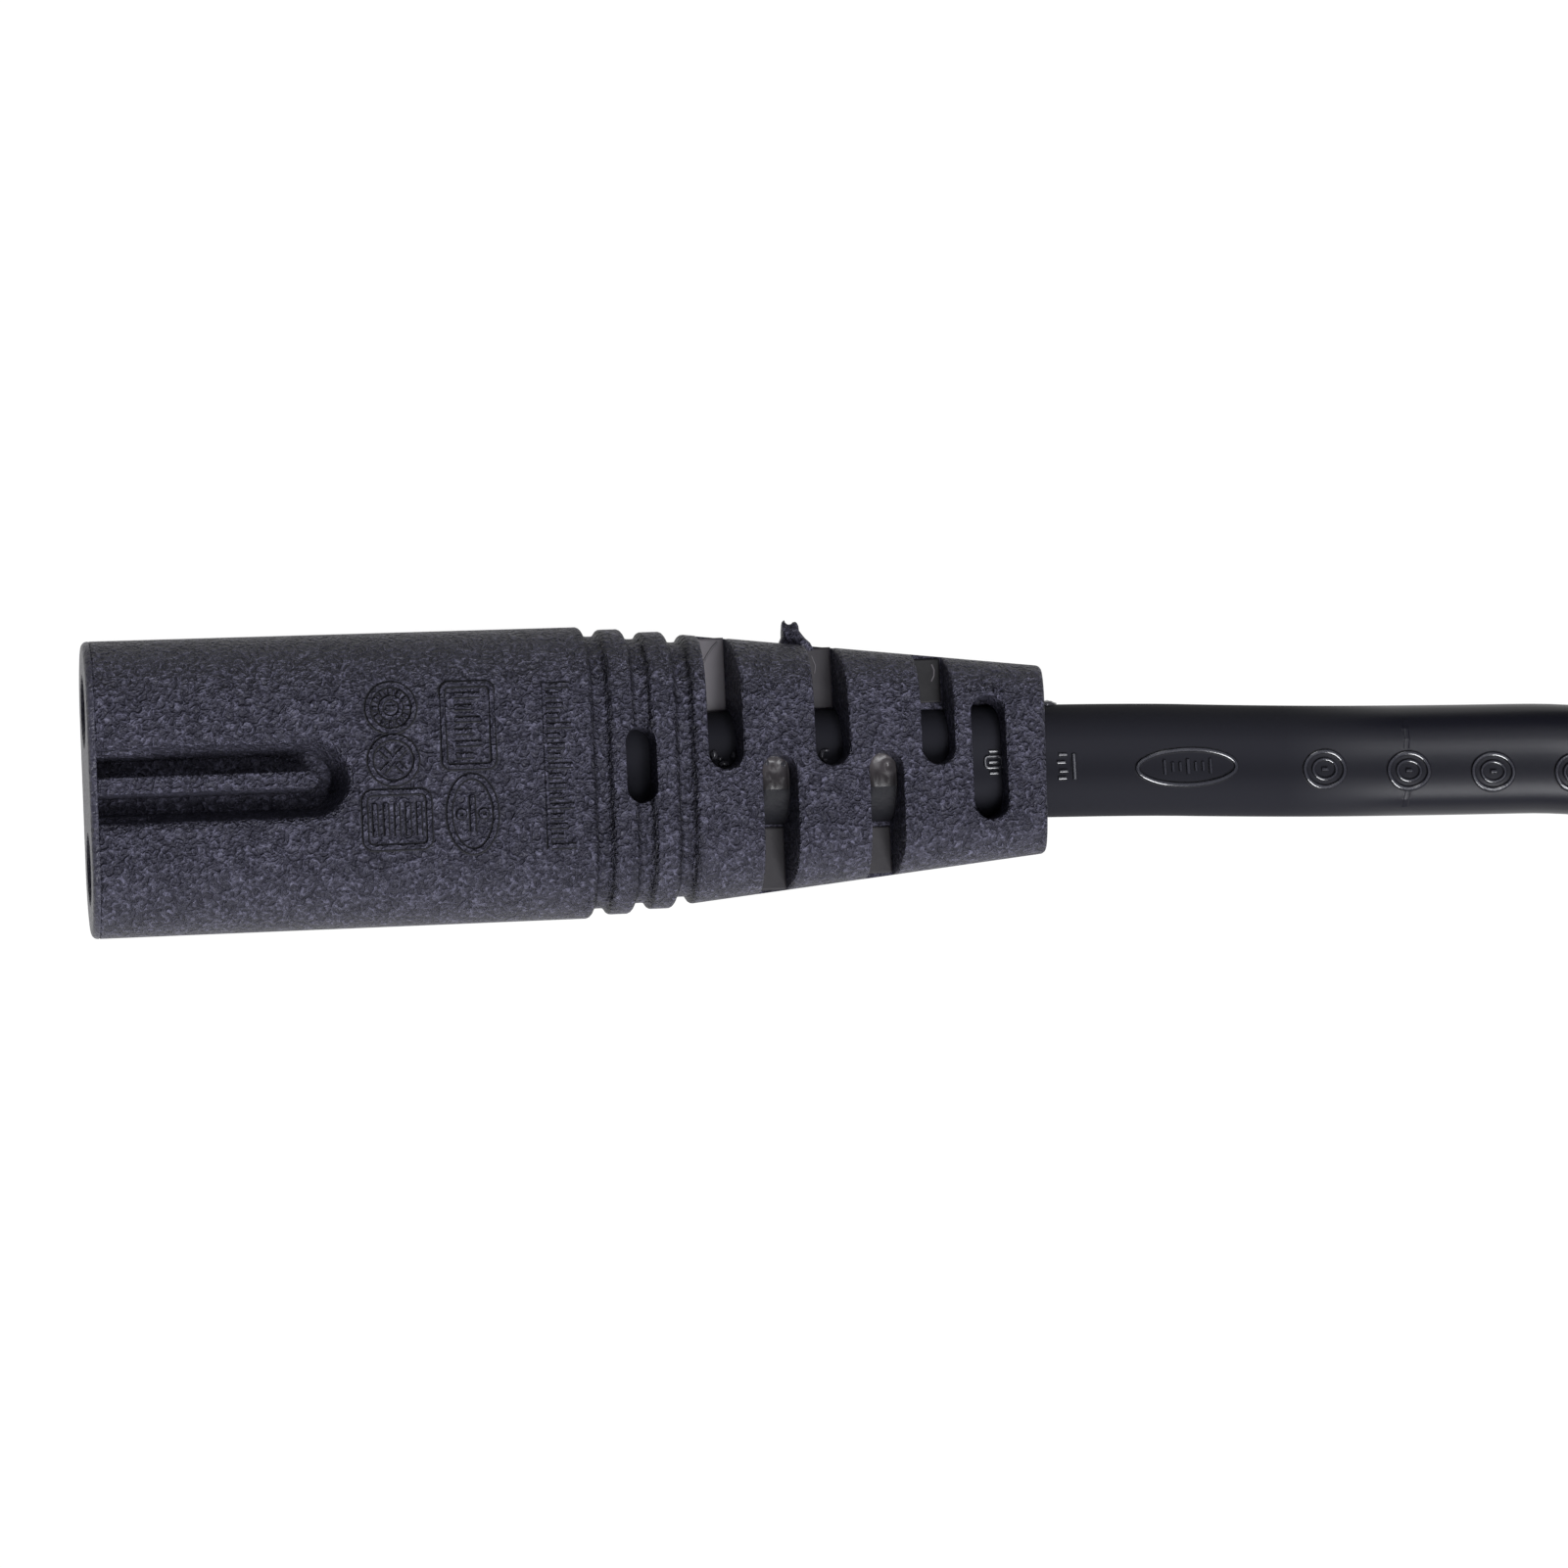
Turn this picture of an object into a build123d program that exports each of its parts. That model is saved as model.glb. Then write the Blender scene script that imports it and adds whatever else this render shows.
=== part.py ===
from build123d import *
import math
import os

os.makedirs("parts", exist_ok=True)

# Two-pole figure-8 connector on a flat two-core cord, with the cord folded in a tied
# hank and a flat two-pin plug on its far end. Millimetres. Origin: middle of the
# connector's box, on the surface it lies on. +X along the lead, +Z up, the connector's
# front face towards -X.

# ---------------------------------------------------------------- connector sizes
CONN_L = 53.65          # front face to the end of the strain relief
CONN_W = 16.2           # figure-8 body, across both contacts
CONN_H = 8.0
X0 = -CONN_L / 2.0      # front face
ZC = CONN_H / 2.0       # mid-plane, where the mould parts
PLATE_T = 0.42          # front plate of the hard carrier
CONTACT_Y = 4.3         # half of the 8.6 mm contact spacing
ENTRY_R = 2.05          # mouth of each contact hole
HOLE_R = 1.7            # hole in the carrier round the contact
SLEEVE_R_IN = 1.2       # takes a 2.36 mm inlet pin
SLEEVE_R_OUT = 1.62
SLEEVE_X0, SLEEVE_X1 = 1.6, 14.8
BARREL_R = 1.1
BARREL_X1 = 20.0
WIRE_R = 0.6
CORE_R = 1.2
GRIP_X = (27.88, 30.18, 32.53)      # centres of the three grip grooves
# one grip groove: distance from its middle, share of its depth
GRIP_PROFILE = ((-0.72, 0.0), (-0.60, 0.06), (-0.50, 0.24), (-0.36, 0.78), (-0.26, 0.96), (-0.12, 1.0),
                (0.12, 1.0), (0.26, 0.96), (0.36, 0.78), (0.50, 0.24), (0.60, 0.06), (0.72, 0.0))
GRIP_DEPTH = 0.44
GRIP_RIDGE_HW = (8.1, 7.92, 7.71, 7.5)
GRIP_FLOOR_HW = (7.56, 7.35, 7.10)
RELIEF_X = 33.21        # strain relief starts behind the last groove
RELIEF_HW0, RELIEF_HW1 = 7.5, 5.28
RELIEF_HH0, RELIEF_HH1 = 4.0, 3.02
RELIEF_Y1 = -0.2        # the rear end sits a little off the axis
REAR_DRAFT = 10.0
REAR_ROUND = 0.36
REAR_SKEW = 1.1         # the rear face is cut a little out of square
SLOT_W = 1.98
SLOT_DRAFT = 3.0
# centre along the axis, y of the closed end, which side it opens to, height of the web
TOP_SLOTS = ((34.80, -0.30, +1, 4.0), (40.86, -0.30, +1, 4.15), (46.95, -0.44, +1, 4.9),
             (37.78, 0.55, -1, 4.0), (43.86, 0.51, -1, 4.1))
LOW_SLOTS = ((34.80, -0.30, +1, 4.0), (40.86, -0.30, +1, 4.0), (46.95, -0.44, +1, 4.0),
             (37.78, 0.55, -1, 4.0), (43.86, 0.51, -1, 4.0))
WINDOW_X, WINDOW_W, WINDOW_L = 49.86, 2.02, 6.98     # closed window near the rear end
SIGHT_X, SIGHT_Y, SIGHT_W, SIGHT_L = 30.02, 0.14, 1.72, 4.24     # small window among the grip rings
RIM_ROUND = 0.16        # soft rims of the slots and windows
KEY_ROUND = 0.5         # soft rim of the long groove
KEY_END_X = 13.98       # long groove in each broad face: closed, round end
KEY_HW = 2.08
KEY_DEPTH = 3.3
KEY_DRAFT = 11.0
KEY_FRONT_X, KEY_FRONT_HW = 3.6, 1.62
RIB_END_X, RIB_HW, RIB_DROP = 12.29, 0.465, 0.18

# ---------------------------------------------------------------- cord sizes
CORD_W, CORD_T = 6.4, 3.9
CORE_PITCH = 2.5
CORD_START_X = 28.0     # end of the sheath inside the connector, from the front face
LANE = 4.05             # one turn beside the next, cord on edge
FOLD_R = 21.0           # inner turn at the hank's end loops
WAIST_R = 26.0          # inner turn where it draws in to the tie
WAIST_Y = 2.1           # inner turn's distance from the middle at the tie
HANK_H = 2 * CORD_W     # two layers on edge
LEAD_Y = -5.9           # line on which the lead runs into the hank
HANK_CX0 = 90.0         # centre of the near end loop

# ---------------------------------------------------------------- plug sizes
PLUG_W, PLUG_H = 35.3, 13.7
PLUG_R = 5.6
PIN_R, PIN_LEN = 2.0, 19.0
PIN_CORE_R, PIN_SLEEVE_R = 1.35, 1.72
PIN_SLEEVE_LEN = 10.0
PIN_BASE_Y, PIN_TIP_Y = 9.3, 8.75
PLUG_RELIEF_L = 20.0
PLUG_BODY_L = 27.0

YZ = dict(x_dir=(0, 1, 0), z_dir=(1, 0, 0))


def fx(x):
    """Distance behind the connector's front face, as a frame coordinate."""
    return X0 + x


def rounded(x, hw, hh, r, y=0.0, z=ZC):
    return Plane(origin=(x, y, z), **YZ) * RectangleRounded(2 * hw, 2 * hh, r)


def rod(x0, x1, r, y, z=ZC):
    return extrude(Plane(origin=(x0, y, z), **YZ) * Circle(r), amount=x1 - x0)


def flip(s):
    """The same feature on the underside, turned over about the long axis."""
    return s.rotate(Axis((0, 0, ZC), (1, 0, 0)), 180)


def one(s):
    """The biggest solid of a result, as a plain solid."""
    found = sorted(s.solids(), key=lambda q: -q.volume)
    return found[0]


def soften(shape, chosen, sizes, label):
    """Rounds the chosen edges with the first radius that they take."""
    for r in sizes:
        try:
            done = fillet(chosen, r)
        except Exception:
            continue
        if len(done.solids()) == 1 and 0.97 < done.volume / shape.volume < 1.03:
            print(label, "rounded", r, "edges", len(chosen))
            return done
    print(label, "left sharp, edges", len(chosen))
    return shape


# ---------------------------------------------------------------- cord
def path_of(points, label):
    """Straight runs joined by tangent arcs, each as large as its two runs allow."""
    radii = []
    for a, b, c in zip(points, points[1:], points[2:]):
        u, v = Vector(*b) - Vector(*a), Vector(*c) - Vector(*b)
        turn = u.get_angle(v)
        radii.append(0.45 * min(u.length, v.length) / math.tan(math.radians(turn / 2)))
    line = FilletPolyline(*points, radius=radii)
    print(label, "length", round(line.length, 2), "radii", [round(r, 1) for r in radii])
    return line


def flat_tube(points, label):
    line = path_of(points, label)
    start = Vector(*points[1]) - Vector(*points[0])
    section = Plane(origin=points[0], x_dir=Vector(0, 0, 1).cross(start).normalized(), z_dir=start)
    tube = sweep(section * SlotOverall(CORD_W, CORD_T), path=line)
    area = CORD_T * (CORD_W - CORD_T) + math.pi * (CORD_T / 2) ** 2
    print(label, "volume", round(tube.volume, 1), "section x length", round(area * line.length, 1))
    return one(tube), line.length


# Straight out of the strain relief, down to the surface, then across to the hank.
LEAD_POINTS = [
    (fx(CORD_START_X), 0.0, 4.0),
    (fx(55.6), -0.22, 3.96),
    (41.0, -0.74, 3.0),
    (52.0, -0.98, 2.02),
    (62.0, -1.16, 1.96),
    (75.0, -5.0, 1.96),
    (83.0, -5.8, 1.96),
]
cord_lead, lead_len = flat_tube(LEAD_POINTS, "lead")

# Hank: a loop at each end, drawn in to a waist at the tie.
HANK_CY = LEAD_Y + FOLD_R + LANE
reach_x = math.sqrt((FOLD_R + WAIST_R) ** 2 - (WAIST_R + WAIST_Y) ** 2)
HANK_MX = HANK_CX0 + reach_x
HANK_CX1 = HANK_CX0 + 2 * reach_x


def lane_face(offset):
    """Area inside a line that runs at this offset outside the inner turn's centre."""
    r, q, w = FOLD_R + offset, WAIST_R - offset, WAIST_Y + offset
    ux, uy = reach_x / (FOLD_R + WAIST_R), (WAIST_R + WAIST_Y) / (FOLD_R + WAIST_R)
    p0 = (HANK_CX0 + r * ux, HANK_CY - r * uy)      # near loop to waist, lower side
    p1 = (HANK_MX, HANK_CY - w)
    p2 = (HANK_CX1 - r * ux, HANK_CY - r * uy)
    p3 = (HANK_CX1 - r * ux, HANK_CY + r * uy)
    p4 = (HANK_MX, HANK_CY + w)
    p5 = (HANK_CX0 + r * ux, HANK_CY + r * uy)
    far, near = (HANK_CX1 + r, HANK_CY), (HANK_CX0 - r, HANK_CY)
    half = math.atan2(ux, uy) / 2
    low = q * math.sin(half), q * (1 - math.cos(half))
    m01 = (HANK_MX - low[0], HANK_CY - w - low[1])
    m12 = (HANK_MX + low[0], HANK_CY - w - low[1])
    m34 = (HANK_MX + low[0], HANK_CY + w + low[1])
    m45 = (HANK_MX - low[0], HANK_CY + w + low[1])
    edges = [
        ThreePointArc(p0, m01, p1), ThreePointArc(p1, m12, p2), ThreePointArc(p2, far, p3),
        ThreePointArc(p3, m34, p4), ThreePointArc(p4, m45, p5), ThreePointArc(p5, near, p0),
    ]
    return make_face(edges)


def loop_hole(side):
    """Open middle of one end loop: round, running out to a blunt point at the waist."""
    cx = HANK_CX0 if side < 0 else HANK_CX1
    inner = lane_face(-CORD_T / 2)
    block = Pos(cx - side * 2.5, HANK_CY) * Rectangle(2 * FOLD_R + 18, 3 * FOLD_R)
    return inner & block


hank = extrude(lane_face(LANE + CORD_T / 2), amount=HANK_H)
for side in (-1, 1):
    hank -= extrude(Pos(0, 0, -1) * loop_hole(side), amount=HANK_H + 2)
cord_hank = one(hank)
cord_lead = one(cord_lead - cord_hank)

turn_inner = sum(e.length for e in lane_face(0.0).edges())
turn_outer = sum(e.length for e in lane_face(LANE).edges())
print("turns", round(turn_inner, 1), round(turn_outer, 1))

# ---------------------------------------------------------------- plug placing
PLUG_Y = HANK_CY - WAIST_Y - LANE / 2
PLUG_Z = HANK_H + PLUG_H / 2 + 0.03
TOP_Z = HANK_H + CORD_T / 2
PX0 = HANK_MX + 25.0                 # end of the plug's strain relief
PX1 = PX0 + PLUG_RELIEF_L
PXF = PX1 + PLUG_BODY_L              # the face that the pins stand on
TAIL_POINTS = [
    (HANK_MX - 12.0, PLUG_Y, TOP_Z),
    (HANK_MX + 7.0, PLUG_Y, TOP_Z),
    (HANK_MX + 23.0, PLUG_Y, PLUG_Z),
    (PX0 + 17.0, PLUG_Y, PLUG_Z),
]
cord_tail, tail_len = flat_tube(TAIL_POINTS, "tail")
TAIL_END = PX0 + 17.0
print("hank from", round(HANK_CX0 - FOLD_R - LANE - CORD_T / 2, 1), "to",
      round(HANK_CX1 + FOLD_R + LANE + CORD_T / 2, 1), "wide", round(2 * (FOLD_R + LANE) + CORD_T, 1),
      "middle", round(HANK_MX, 2), round(HANK_CY, 2), "plug", round(PX0, 2), round(PXF + PIN_LEN, 2), round(PLUG_Y, 2), PLUG_Z)
print("cord length", round(lead_len + 2 * turn_inner + 2 * turn_outer + 55 + tail_len, 1))

# ---------------------------------------------------------------- hank tie
TIE_W, TIE_T = 4.0, 0.7
tie_low, tie_high = HANK_CY - WAIST_Y - LANE - CORD_T / 2, HANK_CY + WAIST_Y + LANE + CORD_T / 2
tie_top = HANK_H + CORD_T + 0.15
tie_plane = Plane(origin=(HANK_MX - TIE_W / 2, 0, 0), **YZ)
hull = [(tie_low - 0.15, 0.02), (tie_high + 0.15, 0.02), (tie_high + 0.15, HANK_H + 0.15),
        (PLUG_Y + CORD_W / 2, tie_top), (PLUG_Y - CORD_W / 2, tie_top), (tie_low - 0.15, HANK_H + 0.15)]


def band(points, grow, lift=0.0):
    cy = sum(p[0] for p in points) / len(points)
    out = []
    for y, z in points:
        out.append((y + (grow if y > cy else -grow), z + (lift if z < 1 else grow)))
    return make_face(Polyline(*out, close=True))


tie = extrude(tie_plane * (band(hull, TIE_T, 0.0) - band(hull, 0.0, 0.0)), amount=TIE_W)
# the floor of the loop runs under the turns, which spread to leave it room
tie_floor = Pos(HANK_MX, (tie_low + tie_high) / 2, 0.32) * Box(TIE_W, tie_high - tie_low + 2 * TIE_T, 0.6)
tie = tie + tie_floor
# its two ends, twisted together and then parted
knot = Vector(HANK_MX, tie_high + 0.55, HANK_H - 1.4)
fork = knot + Vector(0.6, 8.0, 1.2)
for a, b, w in ((knot, fork, 2.0), (fork, fork + Vector(3.0, 4.2, 1.4), 1.4), (fork, fork + Vector(-2.2, 4.6, 0.2), 1.4)):
    way = (b - a).normalized()
    tie += extrude(Plane(origin=a - way * 0.4, x_dir=Vector(0, 0, 1).cross(way), z_dir=way) * RectangleRounded(w, 1.2, 0.5),
                   amount=(b - a).length + 0.4)
hank_tie = one(tie)
cord_hank = one(cord_hank - Pos(HANK_MX, (tie_low + tie_high) / 2, 0.32) * Box(TIE_W + 0.1, tie_high - tie_low + 3, 0.66))

# ---------------------------------------------------------------- connector: inner parts
def contact(y):
    tube = rod(fx(SLEEVE_X0), fx(SLEEVE_X1), SLEEVE_R_OUT, y) - rod(fx(SLEEVE_X0 - 1), fx(SLEEVE_X1 - 0.8), SLEEVE_R_IN, y)
    slit = Pos(fx(SLEEVE_X0 + 4.4), y, ZC + 1.4) * Box(9.6, 0.5, 1.4)
    barrel = rod(fx(SLEEVE_X1), fx(BARREL_X1), BARREL_R, y) - rod(fx(15.8), fx(BARREL_X1 + 1), WIRE_R, y)
    return one(tube - slit + barrel)


def core(sign, x0, x1, x_crimp, x_sheath, y_out, y_in, z, y_mid=0.0):
    pts = [(x0, y_mid + sign * y_out, z), (x_crimp, y_mid + sign * y_out, z),
           (x_sheath, y_mid + sign * y_in, z), (x1, y_mid + sign * y_in, z)]
    step = Vector(*pts[1]) - Vector(*pts[0])
    line = FilletPolyline(*pts, radius=2.4)
    return one(sweep(Plane(origin=pts[0], x_dir=(0, 1, 0), z_dir=step) * Circle(CORE_R), path=line))


contact_sleeve_left, contact_sleeve_right = contact(CONTACT_Y), contact(-CONTACT_Y)
connector_wire_left = one(rod(fx(15.8), fx(BARREL_X1), WIRE_R, CONTACT_Y))
connector_wire_right = one(rod(fx(15.8), fx(BARREL_X1), WIRE_R, -CONTACT_Y))
connector_core_left = core(1, fx(BARREL_X1), fx(CORD_START_X), fx(21.2), fx(26.6), CONTACT_Y, CORE_PITCH / 2, ZC)
connector_core_right = core(-1, fx(BARREL_X1), fx(CORD_START_X), fx(21.2), fx(26.6), CONTACT_Y, CORE_PITCH / 2, ZC)
connector_core_left, connector_core_right = one(connector_core_left - cord_lead), one(connector_core_right - cord_lead)

carrier = extrude(Plane(origin=(X0, 0, ZC), **YZ) * SlotOverall(CONN_W, CONN_H), amount=PLATE_T)
carrier = fillet(carrier.faces().sort_by(Axis.X)[0].edges(), 0.34)
carrier = chamfer(carrier.faces().sort_by(Axis.X)[-1].outer_wire().edges(), 0.04)
for y in (CONTACT_Y, -CONTACT_Y):
    carrier += rod(fx(PLATE_T - 0.1), fx(15.6), 2.7, y)
carrier += Pos(fx(8.1), 0, ZC) * Box(15.0, 2 * CONTACT_Y, 1.2)
for y in (CONTACT_Y, -CONTACT_Y):
    carrier -= rod(fx(-1), fx(SLEEVE_X1), HOLE_R, y)
    carrier -= rod(fx(SLEEVE_X1 - 0.5), fx(16), BARREL_R, y)
    mouth = Plane(origin=(X0 - 0.001, y, ZC), **YZ) * Circle(ENTRY_R)
    throat = Plane(origin=(X0 + 0.9, y, ZC), **YZ) * Circle(HOLE_R)
    carrier -= loft([mouth, throat])
connector_carrier = one(carrier)

# ---------------------------------------------------------------- connector: moulded cover
def plan_slot(x0, x1, hw, z):
    """A strip from x0 to a round end at x1, on a horizontal plane."""
    shape = Pos((x0 + x1 - hw) / 2, 0) * Rectangle(x1 - hw - x0, 2 * hw) + Pos(x1 - hw, 0) * Circle(hw)
    return Plane.XY.offset(z) * shape


front = extrude(Plane(origin=(fx(PLATE_T), 0, ZC), **YZ) * SlotOverall(CONN_W, CONN_H), amount=27.0 - PLATE_T)
front = chamfer(front.faces().sort_by(Axis.X)[0].edges(), 0.04)

# long groove, closed and round at its inner end, with a rib along its middle. Near the front
# face two lips narrow it, each sloping down from the groove's soft rim.
top = CONN_H
key = extrude(plan_slot(fx(-1.0), fx(KEY_END_X), KEY_HW, top), amount=-KEY_DEPTH, taper=KEY_DRAFT)
key_floor = top - KEY_DEPTH
lip_lines = []
for side in (-1, 1):
    lip_lines.append(make_face(Polyline(
        (side * (KEY_HW + 0.6), key_floor - 0.1), (side * (KEY_FRONT_HW - 0.2), key_floor - 0.1),
        (side * KEY_FRONT_HW, top - 1.35), (side * (KEY_FRONT_HW + 0.14), top - 1.05),
        (side * (KEY_HW + 0.1), top - 0.62), (side * (KEY_HW + 0.6), top - 0.62), close=True)))
lips = Part()
for face in lip_lines:
    lip = extrude(Plane(origin=(fx(PLATE_T), 0, 0), **YZ) * face, amount=KEY_FRONT_X - PLATE_T)
    slope = Plane(origin=(0, 20, 0), x_dir=(1, 0, 0), z_dir=(0, -1, 0)) * make_face(Polyline(
        (fx(KEY_FRONT_X) - 0.9, top + 0.1), (fx(KEY_FRONT_X) - 0.9, top - 0.6), (fx(KEY_FRONT_X) + 0.1, top - 2.0),
        (fx(KEY_FRONT_X) + 0.1, top + 0.1), close=True))
    lips += lip - extrude(slope, amount=40)
rib = extrude(plan_slot(fx(PLATE_T), fx(RIB_END_X), RIB_HW, top - RIB_DROP), amount=-(KEY_DEPTH - RIB_DROP + 0.1), taper=-2.5)
rib = rib & (Pos(fx(PLATE_T + 10), 0, ZC) * Box(20, 4, 9))
rib = soften(rib, rib.faces().sort_by(Axis.Z)[-1].edges(), (0.14, 0.08), "rib")
for turned in (False, True):
    front = front - (flip(key) if turned else key)
    z = 0.0 if turned else top
    rim = [e for e in front.edges() if abs(e.center().Z - z) < 0.01 and abs(e.center().Y) < KEY_HW + 0.2
           and fx(PLATE_T + 0.3) < e.center().X < fx(KEY_END_X + 0.5)]
    front = soften(front, rim, (KEY_ROUND, 0.2, 0.12), "groove rim")
    front = front + (flip(rib) if turned else rib) + (flip(lips) if turned else lips)
print("front", round(front.volume, 1), "solids", len(front.solids()))

# grip: three soft ring grooves
rings = [(27.0, 8.1, 4.0)]
for i, gx in enumerate(GRIP_X):
    for dx, share in GRIP_PROFILE:
        t = (dx + 0.72) / 1.44
        ridge = GRIP_RIDGE_HW[i] + (GRIP_RIDGE_HW[i + 1] - GRIP_RIDGE_HW[i]) * t
        deep = GRIP_FLOOR_HW[i]
        rings.append((gx + dx, ridge + (deep - ridge) * share, 4.0 - 0.01 * (i + t) - GRIP_DEPTH * share))
rings.append((RELIEF_X, 7.5, 3.97))
grip = [rounded(fx(x), hw, hh, hh - 0.04) for x, hw, hh in rings]
parts = []
for a, b in zip(grip, grip[1:]):
    parts.append(loft([a, b], ruled=True))


def relief_at(x):
    t = (x - RELIEF_X) / (CONN_L - RELIEF_X)
    return (RELIEF_HW0 + (RELIEF_HW1 - RELIEF_HW0) * t, 3.97 + (RELIEF_HH1 - 3.97) * t,
            3.9 + (2.35 - 3.9) * t, RELIEF_Y1 * t)


taper = []
for x in (RELIEF_X, CONN_L + 0.4):
    hw, hh, r, y = relief_at(x)
    taper.append(rounded(fx(x), hw, hh, r, y))
relief = loft(taper, ruled=True)

# rear face: draft both ways from the parting line
run = math.tan(math.radians(REAR_DRAFT)) * 5
wedge = make_face(Polyline((-12, -1), (-12, 9), (-run, ZC + 5), (0, ZC), (-run, ZC - 5), close=True))
wedge = extrude(Plane(origin=(0, 20, 0), x_dir=(1, 0, 0), z_dir=(0, -1, 0)) * wedge, amount=40)
wedge = Pos(fx(CONN_L), 0, 0) * Rot(0, 0, -REAR_SKEW) * wedge
wedge = wedge + Pos(fx(RELIEF_X + 5), 0, ZC) * Box(22, 30, 12)
upper = (relief & wedge) & (Pos(fx(45), 0, ZC + 4) * Box(30, 20, 8))
rear = [e for e in upper.edges() if e.center().X > fx(CONN_L - 1.2) and e.center().Z > ZC + 0.01]
upper = soften(upper, rear, (REAR_ROUND, 0.3, 0.2), "rear rim")
relief = upper + flip(upper.mirror(Plane.XZ))


def side_slot(x, y_end, sign, web, low=False):
    """A slot cut from the broad face down to the web, open at one side, round at the other end."""
    w = SLOT_W + 2 * math.tan(math.radians(SLOT_DRAFT)) * 0.6
    r = w / 2
    y_c = y_end + sign * r
    shape = Pos(fx(x), y_c) * Circle(r) + Pos(fx(x), y_c + sign * 6) * Rectangle(w, 12)
    cut = extrude(Plane.XY.offset(8.4) * shape, amount=-(8.4 - web), taper=SLOT_DRAFT)
    cut &= Pos(fx(x), sign * 4.6, 6) * Box(6, 12, 12)
    return flip(cut) if low else cut


def window(x, w, length, bottom, y=0.0):
    shape = Pos(fx(x), y) * Rot(0, 0, 90) * SlotOverall(length, w)
    return extrude(Plane.XY.offset(8.3) * shape, amount=-(8.3 - bottom), taper=1.2)


for x, y_end, sign, web in TOP_SLOTS:
    relief -= side_slot(x, y_end, sign, web)
for x, y_end, sign, web in LOW_SLOTS:
    relief -= side_slot(x, y_end, sign, web, low=True)
for turned in (False, True):
    # the under window is shorter, and what is left of its ends closes the gaps beside the cord
    w = window(WINDOW_X, WINDOW_W, 5.9 if turned else WINDOW_L, ZC, -0.07)
    relief -= flip(w) if turned else w


def rim_edges(shape, sign, x0, x1):
    """Edges of a slot or window that lie in the outer skin, on the upper (+1) or under side (-1)."""
    out = []
    for e in shape.edges():
        c, a, b = e.center(), e.position_at(0), e.position_at(1)
        if not x0 < c.X < x1:
            continue
        hw, hh, _, _ = relief_at(c.X - X0)
        reach = (c.Z - ZC) * sign
        flat = abs(reach - hh) < 0.05
        bend = reach > 1.0 and abs(c.Y) > hw - 4.0 and abs(a.Z - b.Z) > 0.3 and abs(a.Y - b.Y) > 0.3
        if flat or bend:
            out.append(e)
    return out


print("relief", round(relief.volume, 2), "solids", len(relief.solids()))
slots = sorted([(x, 1) for x, *_ in TOP_SLOTS] + [(x, -1) for x, *_ in LOW_SLOTS])
for x, sign in slots + [(WINDOW_X, 1), (WINDOW_X, -1)]:
    chosen = rim_edges(relief, sign, fx(x - 1.35), fx(x + 1.35))
    if chosen:
        relief = soften(relief, chosen, (RIM_ROUND, 0.1), f"rim {x} {sign}")

body = front
for p in parts:
    body += p
for turned in (False, True):
    w = window(SIGHT_X, SIGHT_W, SIGHT_L, ZC, SIGHT_Y)
    body -= flip(w) if turned else w
body = body + relief
print("body", round(body.volume, 1), "solids", len(body.solids()))

# room for what is moulded in
for inner in (connector_carrier, contact_sleeve_left, contact_sleeve_right, connector_wire_left,
              connector_wire_right, connector_core_left, connector_core_right, cord_lead):
    body -= inner
for y in (CONTACT_Y, -CONTACT_Y):
    body -= rod(fx(0), fx(15.5), HOLE_R, y)
print("cover solids", [round(s.volume, 3) for s in body.solids()])
connector_body = one(body)

# ---------------------------------------------------------------- plug
def plug_rounded(x, w, h, r):
    return Plane(origin=(x, PLUG_Y, PLUG_Z), **YZ) * RectangleRounded(w, h, r)


plug = loft([plug_rounded(PX1 + 17.0, PLUG_W, PLUG_H, PLUG_R), plug_rounded(PXF, PLUG_W, PLUG_H, PLUG_R)], ruled=True)
plug = fillet(plug.faces().sort_by(Axis.X)[-1].edges(), 0.6)
plug += loft([plug_rounded(PX1, 15.5, 11.6, 4.4), plug_rounded(PX1 + 8.0, 24.5, 12.9, 5.0),
              plug_rounded(PX1 + 17.0, PLUG_W, PLUG_H, PLUG_R)], ruled=True)
sections = []
steps = [(0.0, 0.25), (0.3, 0.0)]
for k in range(5):
    at = 2.6 + 3.3 * k
    steps += [(at, 0.0), (at + 0.3, 0.45), (at + 1.2, 0.45), (at + 1.5, 0.0)]
steps.append((PLUG_RELIEF_L, 0.0))
for at, drop in steps:
    t = at / PLUG_RELIEF_L
    w, h = 9.6 + (12.6 - 9.6) * t - 2 * drop, 7.2 + (9.8 - 7.2) * t - 2 * drop
    sections.append(plug_rounded(PX0 + at, w, h, h / 2 - 0.4))
for a, b in zip(sections, sections[1:]):
    plug += loft([a, b], ruled=True)

bridge_x0 = PXF - 9.0
plug_bridge = extrude(plug_rounded(bridge_x0, 27.0, 7.6, 3.4), amount=9.0)


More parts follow.
